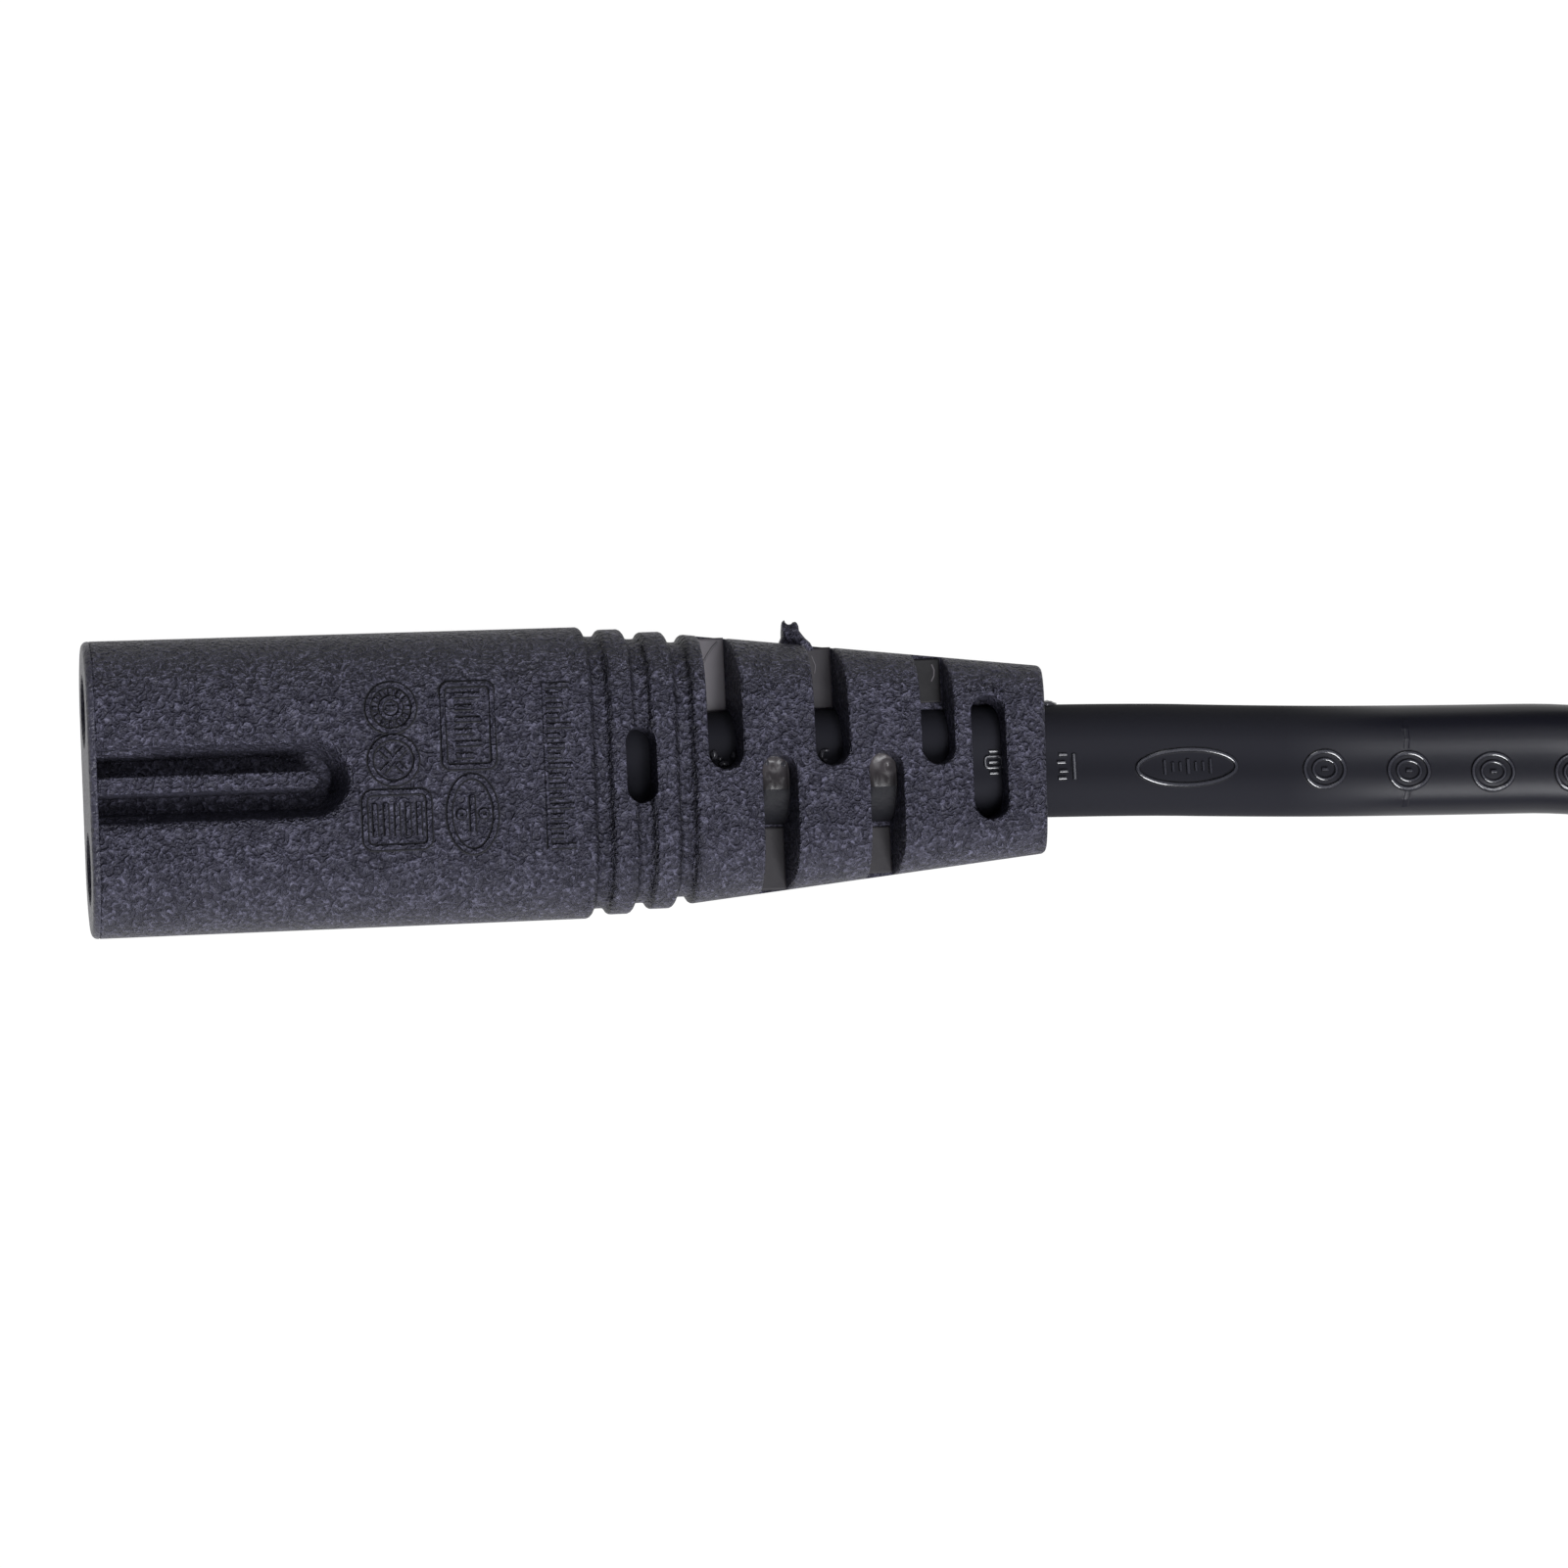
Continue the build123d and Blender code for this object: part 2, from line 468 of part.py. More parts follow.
def pin_parts(sign):
    slope = (PIN_BASE_Y - PIN_TIP_Y) / PIN_LEN
    direction = Vector(1, -sign * slope, 0).normalized()
    base = Vector(PXF, PLUG_Y + sign * PIN_BASE_Y, PLUG_Z)

    def shaft(a, b, r):
        return extrude(Plane(origin=base + direction * a, x_dir=(0, 0, 1), z_dir=direction) * Circle(r), amount=b - a)

    tip = shaft(PIN_SLEEVE_LEN, PIN_LEN, PIN_R)
    tip = fillet(tip.faces().sort_by(Axis.X)[-1].edges(), 1.1)
    pin = tip + shaft(-7.0, PIN_SLEEVE_LEN, PIN_CORE_R) + shaft(-9.0, -7.0, 2.3)
    pin += shaft(-14.5, -9.0, 1.25)
    pin -= shaft(-15.0, -10.2, WIRE_R)
    sleeve = shaft(-1.0, PIN_SLEEVE_LEN, PIN_SLEEVE_R) - shaft(-2.0, PIN_SLEEVE_LEN + 1, PIN_CORE_R)
    wire = shaft(-14.5, -10.2, WIRE_R)
    return one(pin), one(sleeve), one(wire), base + direction * -14.5


plug_pin_left, plug_pin_sleeve_left, plug_wire_left, end_l = pin_parts(1)
plug_pin_right, plug_pin_sleeve_right, plug_wire_right, end_r = pin_parts(-1)


def plug_core(sign, end):
    y1 = abs(end.Y - PLUG_Y)
    pts = [(TAIL_END, PLUG_Y + sign * CORE_PITCH / 2, PLUG_Z), (TAIL_END + 2.2, PLUG_Y + sign * CORE_PITCH / 2, PLUG_Z),
           (end.X - 3.2, PLUG_Y + sign * (y1 + 0.1), PLUG_Z), (end.X, end.Y, PLUG_Z)]
    line = FilletPolyline(*pts, radius=2.4)
    return one(sweep(Plane(origin=pts[0], x_dir=(0, 1, 0), z_dir=(1, 0, 0)) * Circle(CORE_R), path=line))


plug_core_left, plug_core_right = plug_core(1, end_l), plug_core(-1, end_r)
for inner in (plug_pin_left, plug_pin_right, plug_pin_sleeve_left, plug_pin_sleeve_right, plug_wire_left, plug_wire_right):
    plug_bridge -= inner
plug_bridge = one(plug_bridge)
for inner in (plug_bridge, plug_pin_left, plug_pin_right, plug_pin_sleeve_left, plug_pin_sleeve_right,
              plug_wire_left, plug_wire_right, plug_core_left, plug_core_right, cord_tail):
    plug -= inner
plug_body = one(plug)

# ---------------------------------------------------------------- files
nodes = {
    "connector_body": connector_body,
    "connector_carrier": connector_carrier,
    "contact_sleeve_left": contact_sleeve_left,
    "contact_sleeve_right": contact_sleeve_right,
    "connector_wire_left": connector_wire_left,
    "connector_wire_right": connector_wire_right,
    "connector_core_left": connector_core_left,
    "connector_core_right": connector_core_right,
    "cord_lead": cord_lead,
    "cord_hank": cord_hank,
    "cord_tail": cord_tail,
    "hank_tie": hank_tie,
    "plug_body": plug_body,
    "plug_bridge": plug_bridge,
    "plug_pin_left": plug_pin_left,
    "plug_pin_right": plug_pin_right,
    "plug_pin_sleeve_left": plug_pin_sleeve_left,
    "plug_pin_sleeve_right": plug_pin_sleeve_right,
    "plug_wire_left": plug_wire_left,
    "plug_wire_right": plug_wire_right,
    "plug_core_left": plug_core_left,
    "plug_core_right": plug_core_right,
}
for name, shape in nodes.items():
    shape.label = name
    export_step(shape, f"parts/{name}.step")
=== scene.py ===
import math
import random

import bmesh
import bpy
import numpy as np
from mathutils import Matrix, Vector, noise


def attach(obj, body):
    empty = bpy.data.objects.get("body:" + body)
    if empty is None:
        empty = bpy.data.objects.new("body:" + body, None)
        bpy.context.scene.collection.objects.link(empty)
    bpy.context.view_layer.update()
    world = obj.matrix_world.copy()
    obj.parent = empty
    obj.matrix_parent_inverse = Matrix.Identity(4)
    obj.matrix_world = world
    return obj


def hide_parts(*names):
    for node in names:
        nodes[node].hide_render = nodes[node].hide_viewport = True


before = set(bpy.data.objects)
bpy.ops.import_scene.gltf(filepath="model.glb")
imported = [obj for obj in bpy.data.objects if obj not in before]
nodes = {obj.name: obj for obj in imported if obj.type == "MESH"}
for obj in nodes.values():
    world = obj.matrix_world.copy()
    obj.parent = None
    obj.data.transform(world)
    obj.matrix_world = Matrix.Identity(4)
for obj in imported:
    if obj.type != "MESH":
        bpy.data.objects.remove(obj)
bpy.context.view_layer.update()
scene = bpy.context.scene
MM = 0.001
random.seed(7)

# ------------------------------------------------------------------ sizes, millimetres
CONN_L, X0, ZC = 53.65, -26.825, 4.0
CORD_W, CORD_T = 6.4, 3.9
LANE, FOLD_R, WAIST_R, WAIST_Y = 4.05, 21.0, 26.0, 2.1
HANK_CX0, HANK_CY = 90.0, 19.15
REACH = math.sqrt((FOLD_R + WAIST_R) ** 2 - (WAIST_R + WAIST_Y) ** 2)
HANK_MX, HANK_CX1 = HANK_CX0 + REACH, HANK_CX0 + 2 * REACH
HANK_H = 12.8
PLUG_Y = HANK_CY - WAIST_Y - LANE / 2
PLUG_Z = HANK_H + 13.7 / 2 + 0.03
PX0 = HANK_MX + 25.0


def fx(x):
    return X0 + x


# ------------------------------------------------------------------ camera
camera = bpy.data.objects.new("camera", bpy.data.cameras.new("camera"))
scene.collection.objects.link(camera)
scene.camera = camera
right = Vector((0.9800, -0.0450, 0.1936)).normalized()
ahead = Vector((0.1955, 0.0427, -0.9798)).normalized()
up = right.cross(ahead).normalized()
right = ahead.cross(up).normalized()
turn = Matrix((right, up, -ahead)).transposed()
camera.matrix_world = Matrix.Translation(Vector((-39.72, -12.30, 262.55)) * MM) @ turn.to_4x4()
camera.data.sensor_width = 36.0
camera.data.lens = 108.21
camera.data.clip_start, camera.data.clip_end = 0.01, 10.0


# ------------------------------------------------------------------ small helpers
def make_object(name, verts, faces, smooth=True, body="root"):
    mesh = bpy.data.meshes.new(name)
    mesh.from_pydata([tuple(v) for v in verts], [], faces)
    mesh.validate()
    mesh.update()
    if smooth:
        mesh.shade_smooth()
    obj = bpy.data.objects.new(name, mesh)
    scene.collection.objects.link(obj)
    if body:
        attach(obj, body)
    return obj


def join_parts(parts):
    """Several (verts, faces) lists as one."""
    verts, faces = [], []
    for v, f in parts:
        base = len(verts)
        verts += list(v)
        faces += [tuple(i + base for i in q) for q in f]
    return verts, faces


# ------------------------------------------------------------------ cord
# The lead: the route's own points. z of a turn on edge is half its width above its layer.
LEAD = [
    (1.175, 0.0, 4.0),
    (28.775, -0.18, 4.06),
    (41.0, -0.71, 2.55),
    (50.0, -0.93, 1.97),
    (62.0, -1.13, 1.96),
    (75.0, -5.0, 3.02),
]
LEAD_TURN = [0, 0, 0, 0, 0, 42]      # degrees that the flat cord is turned on edge


def arc(cx, cy, radius, start, sweep, count):
    """Control points round an arc: their sides touch it at their middles."""
    step = sweep / count
    reach = radius / math.cos(math.radians(step / 2))
    return [(cx + reach * math.cos(math.radians(start + (i + 0.5) * step)),
             cy + reach * math.sin(math.radians(start + (i + 0.5) * step))) for i in range(count)]


TANGENT = math.degrees(math.atan2(WAIST_R + WAIST_Y, REACH))


def station(which, i, lane):
    """Point i of one part of a turn, lane 0 inside and 1 outside."""
    off = lane * LANE
    if which == "near":          # near end loop, from its upper side round to its lower side
        return arc(HANK_CX0, HANK_CY, FOLD_R + off, TANGENT, 360 - 2 * TANGENT, 12)[i]
    if which == "low":           # waist, lower side
        return arc(HANK_MX, HANK_CY - WAIST_R - WAIST_Y, WAIST_R - off, 180 - TANGENT, -(180 - 2 * TANGENT), 4)[i]
    if which == "far":
        return arc(HANK_CX1, HANK_CY, FOLD_R + off, 180 + TANGENT, 360 - 2 * TANGENT, 12)[i]
    return arc(HANK_MX, HANK_CY + WAIST_R + WAIST_Y, WAIST_R - off, -TANGENT, -(180 - 2 * TANGENT), 4)[i]


LOW_Z, HIGH_Z, TOP_Z = CORD_W / 2, CORD_W * 1.5, HANK_H + CORD_T / 2
hank, hank_turn = [], []


def add(which, i, lane, z, turned=90.0, loose=0.0):
    x, y = station(which, i, lane)
    hank.append((x, y + loose, z))
    hank_turn.append(turned)


# lane and layer of each turn while it comes round the near loop's stations 0 to 9
coming = [
    # first turn ends by moving in under the others
    [(1, LOW_Z, 90)] * 8 + [(0.5, LOW_Z, 90), (0, LOW_Z, 90)],
    # second turn ends by rising to the upper layer
    [(0, LOW_Z, 90)] * 6 + [(0, 6.2, 90)] + [(0, HIGH_Z, 90)] * 3,
    # third turn ends by moving out
    [(0, HIGH_Z, 90)] * 4 + [(0.5, HIGH_Z, 90)] + [(1, HIGH_Z, 90)] * 5,
    # fourth turn ends by rising on top and lying down flat
    [(1, HIGH_Z + 0.4, 84), (1.06, 11.4, 68), (1.08, 13.5, 45), (0.86, 14.9, 16), (0.6, TOP_Z + 0.05, 2)]
    + [(0.5, TOP_Z, 0)] * 5,
]
lanes = [(1, LOW_Z), (0, LOW_Z), (0, HIGH_Z), (1, HIGH_Z)]
for k, (lane, z) in enumerate(lanes):
    start = 9 if k == 0 else 10
    for i in range(start, 12):
        add("near", i, lane, z)
    for i in range(4):
        add("low", i, lane, z)
    for i in range(12):
        add("far", i, lane, z)
    for i in range(4):
        add("up", i, lane, z)
    for i, (lane_i, z_i, turned) in enumerate(coming[k]):
        add("near", i, lane_i, z_i, turned)
for i in (10, 11):
    add("near", i, 0.5, TOP_Z, 0)
for i in (0, 1):
    add("low", i, 0.5, TOP_Z, 0)

TAIL = [
    (HANK_MX + 7.0, PLUG_Y, TOP_Z),
    (HANK_MX + 23.0, PLUG_Y, PLUG_Z),
    (PX0 + 17.0, PLUG_Y, PLUG_Z),
]
route = LEAD + hank + TAIL
turned = LEAD_TURN + hank_turn + [0, 0, 0]


def nurbs(name, points, steps):
    """A smooth open curve through the route, read back as the points that it follows."""
    curve = bpy.data.curves.new(name, "CURVE")
    curve.dimensions = "3D"
    line = curve.splines.new("NURBS")
    line.points.add(len(points) - 1)
    for p, q in zip(line.points, points):
        p.co = (q[0] * MM, q[1] * MM, q[2] * MM, 1.0)
    line.order_u = 3
    line.use_endpoint_u = True
    line.resolution_u = steps
    holder = bpy.data.objects.new(name, curve)
    scene.collection.objects.link(holder)
    bpy.context.view_layer.update()
    mesh = bpy.data.meshes.new_from_object(holder)
    out = [v.co.copy() for v in mesh.vertices]
    bpy.data.objects.remove(holder)
    bpy.data.curves.remove(curve)
    bpy.data.meshes.remove(mesh)
    return out


STEPS = 12
line = nurbs("route", route, STEPS)
# the same curve, with the cord's turn on edge in place of x
turn_line = nurbs("turns", [(t, 0.0, 0.0) for t in turned], STEPS)
turn_deg = [p.x / MM for p in turn_line]


DIP = 0.15              # the top sinks a little between the two cores


def sink(u):
    """How far the cord's top lies below its two crests; u runs from -1 to 1 between them."""
    return DIP * math.cos(math.pi * u / 2) ** 2


def flat_section(width, thick, around, flats):
    """Outline of a flat two-core cord: two round sides, a top that sinks between the cores and a flat underside. First axis across, second up."""
    r = thick / 2
    half = width / 2 - r
    out = []
    for k in range(around):
        a = -math.pi / 2 + math.pi * k / (around - 1)
        out.append((half + r * math.cos(a), r * math.sin(a)))
    for k in range(1, flats):
        u = 1 - 2 * k / flats
        out.append((half * u, r - sink(u)))
    for k in range(around):
        a = math.pi / 2 + math.pi * k / (around - 1)
        out.append((-half + r * math.cos(a), r * math.sin(a)))
    for k in range(1, flats):
        out.append((-half + 2 * half * k / flats, -r))
    return out


def sweep_section(points, turns, section, hollow_ends=False):
    """Mesh of a section carried along points, kept level and then turned on edge."""
    verts, faces = [], []
    n = len(section)
    for i, p in enumerate(points):
        a = points[max(i - 1, 0)]
        b = points[min(i + 1, len(points) - 1)]
        t = (b - a).normalized()
        side = Vector((0, 0, 1)).cross(t).normalized()
        rise = t.cross(side).normalized()
        r = math.radians(turns[i])
        across = side * math.cos(r) + rise * math.sin(r)
        over = -side * math.sin(r) + rise * math.cos(r)
        for u, v in section:
            verts.append(p + (across * u + over * v) * MM)
        if i:
            base = (i - 1) * n
            for k in range(n):
                m = (k + 1) % n
                faces.append((base + k, base + m, base + n + m, base + n + k))
    faces.append(tuple(range(n - 1, -1, -1)))
    last = (len(points) - 1) * n
    faces.append(tuple(range(last, last + n)))
    return verts, faces


section = flat_section(CORD_W, CORD_T, 13, 8)
verts, faces = sweep_section(line, turn_deg, section)
cord = make_object("cord", verts, faces)
length = sum((b - a).length for a, b in zip(line, line[1:]))
print("cord length", round(length, 4), "points", len(line), "faces", len(faces))

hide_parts("cord_lead", "cord_hank", "cord_tail")


# ------------------------------------------------------------------ materials
def material(name):
    mat = bpy.data.materials.new(name)
    mat.use_nodes = True
    tree = mat.node_tree
    tree.nodes.clear()
    out = tree.nodes.new("ShaderNodeOutputMaterial")
    shader = tree.nodes.new("ShaderNodeBsdfPrincipled")
    tree.links.new(shader.outputs["BSDF"], out.inputs["Surface"])
    return mat, tree, shader


def node(tree, kind, **values):
    made = tree.nodes.new(kind)
    for key, value in values.items():
        if key in made.inputs.keys():
            made.inputs[key].default_value = value
        else:
            setattr(made, key, value)
    return made


def ramp(tree, source, stops, out_socket=None):
    r = tree.nodes.new("ShaderNodeValToRGB")
    r.color_ramp.elements[0].position = stops[0][0]
    r.color_ramp.elements[0].color = stops[0][1]
    r.color_ramp.elements[1].position = stops[-1][0]
    r.color_ramp.elements[1].color = stops[-1][1]
    for pos, col in stops[1:-1]:
        e = r.color_ramp.elements.new(pos)
        e.color = col
    tree.links.new(source, r.inputs["Fac"])
    return r


def moulded(name, dark, light, rough=(0.5, 0.62), grain=4200.0, depth=0.00018, strength=1.0, specular=0.5,
            bevel=0.0, worms=0.0, painted_pit_shade_and_glint=None, polish=None, painted_shade_x=None,
            painted_light_and_shade_y=None):
    """Moulded plastic: fine eroded grain, with a little uneven gloss and colour, and painted shade and highlights
    where asked.

    painted_pit_shade_and_glint: shares of the colour from the grain's pits to its tops, as ramp stops: painted shade
    in the pits and painted glints on the tops. polish: roughness on the matt side of x0 and on the glossy side of x1,
    as (rough, rough, x0, x1). painted_shade_x: (x0, x1, stops), for shares of the colour along X, as painted shade.
    painted_light_and_shade_y: (y0, y1, share, share), the same between two places along Y, as painted light and shade.
    shares of the colour along X. painted_light_and_shade_y: (y0, y1, share, share), the same between two places along
    Y."""
    mat, tree, shader = material(name)
    where = node(tree, "ShaderNodeTexCoord")
    fine = node(tree, "ShaderNodeTexNoise", Scale=grain, Detail=2.0, Roughness=0.55, Distortion=0.6)
    broad = node(tree, "ShaderNodeTexNoise", Scale=grain * 0.03, Detail=3.0, Roughness=0.5)
    for t in (fine, broad):
        tree.links.new(where.outputs["Object"], t.inputs["Vector"])
    colour = ramp(tree, broad.outputs["Fac"], [(0.3, (*dark, 1)), (0.7, (*light, 1))])

    def ranged(source, low, high, to_low, to_high):
        n = node(tree, "ShaderNodeMapRange")
        for key, value in (("From Min", low), ("From Max", high), ("To Min", to_low), ("To Max", to_high)):
            n.inputs[key].default_value = value
        tree.links.new(source, n.inputs["Value"])
        return n.outputs["Result"]

    gloss = ranged(broad.outputs["Fac"], 0.3, 0.7, rough[0], rough[1])
    if polish:
        axes = node(tree, "ShaderNodeSeparateXYZ")
        tree.links.new(where.outputs["Object"], axes.inputs["Vector"])
        along_x = ranged(axes.outputs["X"], polish[2], polish[3], polish[0], polish[1])
        both = node(tree, "ShaderNodeMath", operation="ADD")
        tree.links.new(along_x, both.inputs[0])
        tree.links.new(ranged(broad.outputs["Fac"], 0.3, 0.7, -0.02, 0.02), both.inputs[1])
        gloss = both.outputs[0]
    tree.links.new(gloss, shader.inputs["Roughness"])
    height = fine.outputs["Fac"]
    if worms:
        # short raised wrinkles between flat spots, as spark erosion leaves them
        ridge = node(tree, "ShaderNodeTexNoise", Scale=grain * 0.55, Detail=1.0, Roughness=0.5, Distortion=1.2)
        tree.links.new(where.outputs["Object"], ridge.inputs["Vector"])
        fold = node(tree, "ShaderNodeMath", operation="SUBTRACT")
        fold.inputs[1].default_value = 0.5
        tree.links.new(ridge.outputs["Fac"], fold.inputs[0])
        turn_up = node(tree, "ShaderNodeMath", operation="ABSOLUTE")
        tree.links.new(fold.outputs[0], turn_up.inputs[0])
        scale = node(tree, "ShaderNodeMath", operation="MULTIPLY")
        scale.inputs[1].default_value = -worms
        tree.links.new(turn_up.outputs[0], scale.inputs[0])
        both = node(tree, "ShaderNodeMath", operation="ADD")
        tree.links.new(scale.outputs[0], both.inputs[0])
        tree.links.new(fine.outputs["Fac"], both.inputs[1])
        height = both.outputs[0]
    # painted shade in the grain's pits and painted glints on its tops
    if painted_pit_shade_and_glint:
        # the ramp holds a quarter of each share, because its colours stop at one
        shade = ramp(tree, height, [(at, (share / 4, share / 4, share / 4, 1)) for at, share in painted_pit_shade_and_glint])
        mix = node(tree, "ShaderNodeVectorMath", operation="MULTIPLY")
        tree.links.new(colour.outputs["Color"], mix.inputs[0])
        tree.links.new(shade.outputs["Color"], mix.inputs[1])
        grow = node(tree, "ShaderNodeVectorMath", operation="SCALE")
        grow.inputs["Scale"].default_value = 4.0
        tree.links.new(mix.outputs[0], grow.inputs[0])
        tint = grow.outputs[0]
        # painted shade: shares of the colour along X
        if painted_shade_x:
            axes = node(tree, "ShaderNodeSeparateXYZ")
            tree.links.new(where.outputs["Object"], axes.inputs["Vector"])
            band = ramp(tree, ranged(axes.outputs["X"], painted_shade_x[0], painted_shade_x[1], 0.0, 1.0),
                        [(at, (share, share, share, 1)) for at, share in painted_shade_x[2]])
            both = node(tree, "ShaderNodeVectorMath", operation="MULTIPLY")
            tree.links.new(tint, both.inputs[0])
            tree.links.new(band.outputs["Color"], both.inputs[1])
            tint = both.outputs[0]
        tree.links.new(tint, shader.inputs["Base Color"])
    # painted light and shade along Y
    elif painted_light_and_shade_y:
        axes = node(tree, "ShaderNodeSeparateXYZ")
        tree.links.new(where.outputs["Object"], axes.inputs["Vector"])
        mix = node(tree, "ShaderNodeVectorMath", operation="SCALE")
        tree.links.new(colour.outputs["Color"], mix.inputs[0])
        tree.links.new(ranged(axes.outputs["Y"], *painted_light_and_shade_y), mix.inputs["Scale"])
        tree.links.new(mix.outputs[0], shader.inputs["Base Color"])
    else:
        tree.links.new(colour.outputs["Color"], shader.inputs["Base Color"])
    bump = node(tree, "ShaderNodeBump", Strength=strength, Distance=depth)
    tree.links.new(height, bump.inputs["Height"])
    if bevel:
        edge = node(tree, "ShaderNodeBevel", Radius=bevel)
        edge.samples = 4
        tree.links.new(edge.outputs["Normal"], bump.inputs["Normal"])
    tree.links.new(bump.outputs["Normal"], shader.inputs["Normal"])
    shader.inputs["Specular IOR Level"].default_value = specular
    return mat


BODY_DARK, BODY_LIGHT = (0.0420, 0.0408, 0.0575), (0.0480, 0.0465, 0.0655)
# shares of the body's colour from the grain's pits to its tops: painted shade in the pits, painted glints on the tops
GRAIN_PAINTED_SHADE_AND_GLINT = ((0.22, 0.62), (0.38, 0.84), (0.48, 1.25), (0.62, 2.3))
# painted shade: the colour is darker on the walls of the three grip grooves, where little light reaches
GRIP_AT = (0.02788, 0.03018, 0.03253)
PAINTED_SHADE_X0, PAINTED_SHADE_X1 = fx(27.0) / 1000, fx(33.4) / 1000
painted_shade_stops = []
for g in GRIP_AT:
    for dx, share in ((-0.70, 1.0), (-0.46, 0.45), (-0.22, 0.92), (0.22, 0.92), (0.46, 0.45), (0.70, 1.0)):
        painted_shade_stops.append(((g * 1000 + dx - 27.0) / 6.4, share))
body_mat = moulded("body_pvc", BODY_DARK, BODY_LIGHT, rough=(0.40, 0.48), bevel=0.00010, worms=1.6, grain=3700.0,
                   depth=0.00034, specular=0.20, painted_pit_shade_and_glint=GRAIN_PAINTED_SHADE_AND_GLINT, painted_shade_x=(PAINTED_SHADE_X0, PAINTED_SHADE_X1, painted_shade_stops))
# painted shade for the sides of raised marks and for dark gaps
painted_shade_mat = moulded("painted_shade_finish", (0.004, 0.004, 0.006), (0.006, 0.006, 0.009), rough=(0.6, 0.7), specular=0.25, depth=0.00004)
# lit and shaded copies of one web finish: painted light and painted shade
web_mat = moulded("slot_web", (0.0270, 0.0245, 0.0280), (0.0350, 0.0320, 0.0355), rough=(0.56, 0.66), grain=1500.0, depth=0.00003,
                  strength=0.6, specular=0.3)
low_painted_shade_web_mat = moulded("slot_web_low_painted_shade", (0.0185, 0.0170, 0.0190), (0.0245, 0.0225, 0.0250), rough=(0.56, 0.66), grain=1500.0,
                      depth=0.00003, strength=0.6, specular=0.3)
painted_shade_web_mat = moulded("slot_web_painted_shade", (0.0049, 0.0046, 0.0055), (0.0065, 0.0059, 0.0069), rough=(0.56, 0.66), grain=1500.0,
                       depth=0.00003, strength=0.6, specular=0.3)
painted_light_web_mat = moulded("slot_web_painted_light", (0.0897, 0.0834, 0.0911), (0.1283, 0.1180, 0.1256), rough=(0.50, 0.60), grain=1500.0,
                       depth=0.00003, strength=0.6, specular=0.3)
# painted light near the film's closed end and painted shade towards the web
flash_mat = moulded("flash_film", (0.0246, 0.0224, 0.0246), (0.0615, 0.0542, 0.0549), rough=(0.26, 0.40), grain=900.0,
                    depth=0.00002, strength=0.6, specular=0.26, painted_light_and_shade_y=(-0.00150, -0.0003, 0.25, 1.35))
drop_mat = moulded("flash_drop", (0.0382, 0.0374, 0.0442), (0.0595, 0.0578, 0.0646), rough=(0.08, 0.14), grain=1500.0,
                   depth=0.00002, strength=0.4)
# the carrier takes a milder painted pit shade and painted top glints
carrier_mat = moulded("carrier", BODY_DARK, BODY_LIGHT, rough=(0.36, 0.44), bevel=0.00010, worms=1.6, grain=3700.0,
                      depth=0.00012, specular=0.30, painted_pit_shade_and_glint=((0.2, 0.75), (0.4, 0.95), (0.6, 1.4)))
cord_mat = moulded("cord_sheath", (0.0063, 0.0063, 0.0101), (0.0075, 0.0075, 0.0116), rough=(0.27, 0.31), grain=2600.0,
                   depth=0.00001, strength=0.3, specular=0.24, polish=(0.80, 0.38, 0.0410, 0.0480))
# raised marks on the cord: painted highlight, a colour lighter than the sheath's for their glints, with a glossier
# finish
painted_glint_mark_mat = moulded("cord_mark_painted_glint", (0.0160, 0.0160, 0.0224), (0.0208, 0.0208, 0.0272), rough=(0.16, 0.22), grain=2600.0,
                    depth=0.00001, strength=0.3, specular=0.9)
tie_mat = moulded("tie_plastic", (0.014, 0.014, 0.017), (0.02, 0.02, 0.024), rough=(0.3, 0.42), grain=3000.0, depth=0.00002)
sleeve_mat = moulded("sleeve_plastic", (0.012, 0.012, 0.015), (0.018, 0.018, 0.022), rough=(0.3, 0.4), grain=5000.0, depth=0.00001)
brown_mat = moulded("core_brown", (0.11, 0.045, 0.02), (0.15, 0.06, 0.03), rough=(0.35, 0.45), depth=0.00001)
blue_mat = moulded("core_blue", (0.015, 0.06, 0.25), (0.02, 0.085, 0.32), rough=(0.35, 0.45), depth=0.00001)


def metal(name, colour, low, high):
    mat, tree, shader = material(name)
    where = node(tree, "ShaderNodeTexCoord")
    fine = node(tree, "ShaderNodeTexNoise", Scale=2500.0, Detail=4.0, Roughness=0.6)
    stretch = node(tree, "ShaderNodeMapping")
    stretch.inputs["Scale"].default_value = (0.08, 1.0, 1.0)
    tree.links.new(where.outputs["Object"], stretch.inputs["Vector"])
    tree.links.new(stretch.outputs["Vector"], fine.inputs["Vector"])
    dark = tuple(c * 0.86 for c in colour)
    tint = ramp(tree, fine.outputs["Fac"], [(0.3, (*dark, 1)), (0.7, (*colour, 1))])
    tree.links.new(tint.outputs["Color"], shader.inputs["Base Color"])
    gloss = node(tree, "ShaderNodeMapRange")
    gloss.inputs["To Min"].default_value = low
    gloss.inputs["To Max"].default_value = high
    tree.links.new(fine.outputs["Fac"], gloss.inputs["Value"])
    tree.links.new(gloss.outputs["Result"], shader.inputs["Roughness"])
    bump = node(tree, "ShaderNodeBump", Strength=0.15, Distance=0.00001)
    tree.links.new(fine.outputs["Fac"], bump.inputs["Height"])
    tree.links.new(bump.outputs["Normal"], shader.inputs["Normal"])
    shader.inputs["Metallic"].default_value = 1.0
    return mat


contact_mat = metal("contact_metal", (0.72, 0.62, 0.42), 0.25, 0.45)
copper_mat = metal("copper_wire", (0.80, 0.36, 0.20), 0.3, 0.45)
pin_mat = metal("pin_metal", (0.72, 0.70, 0.66), 0.14, 0.3)

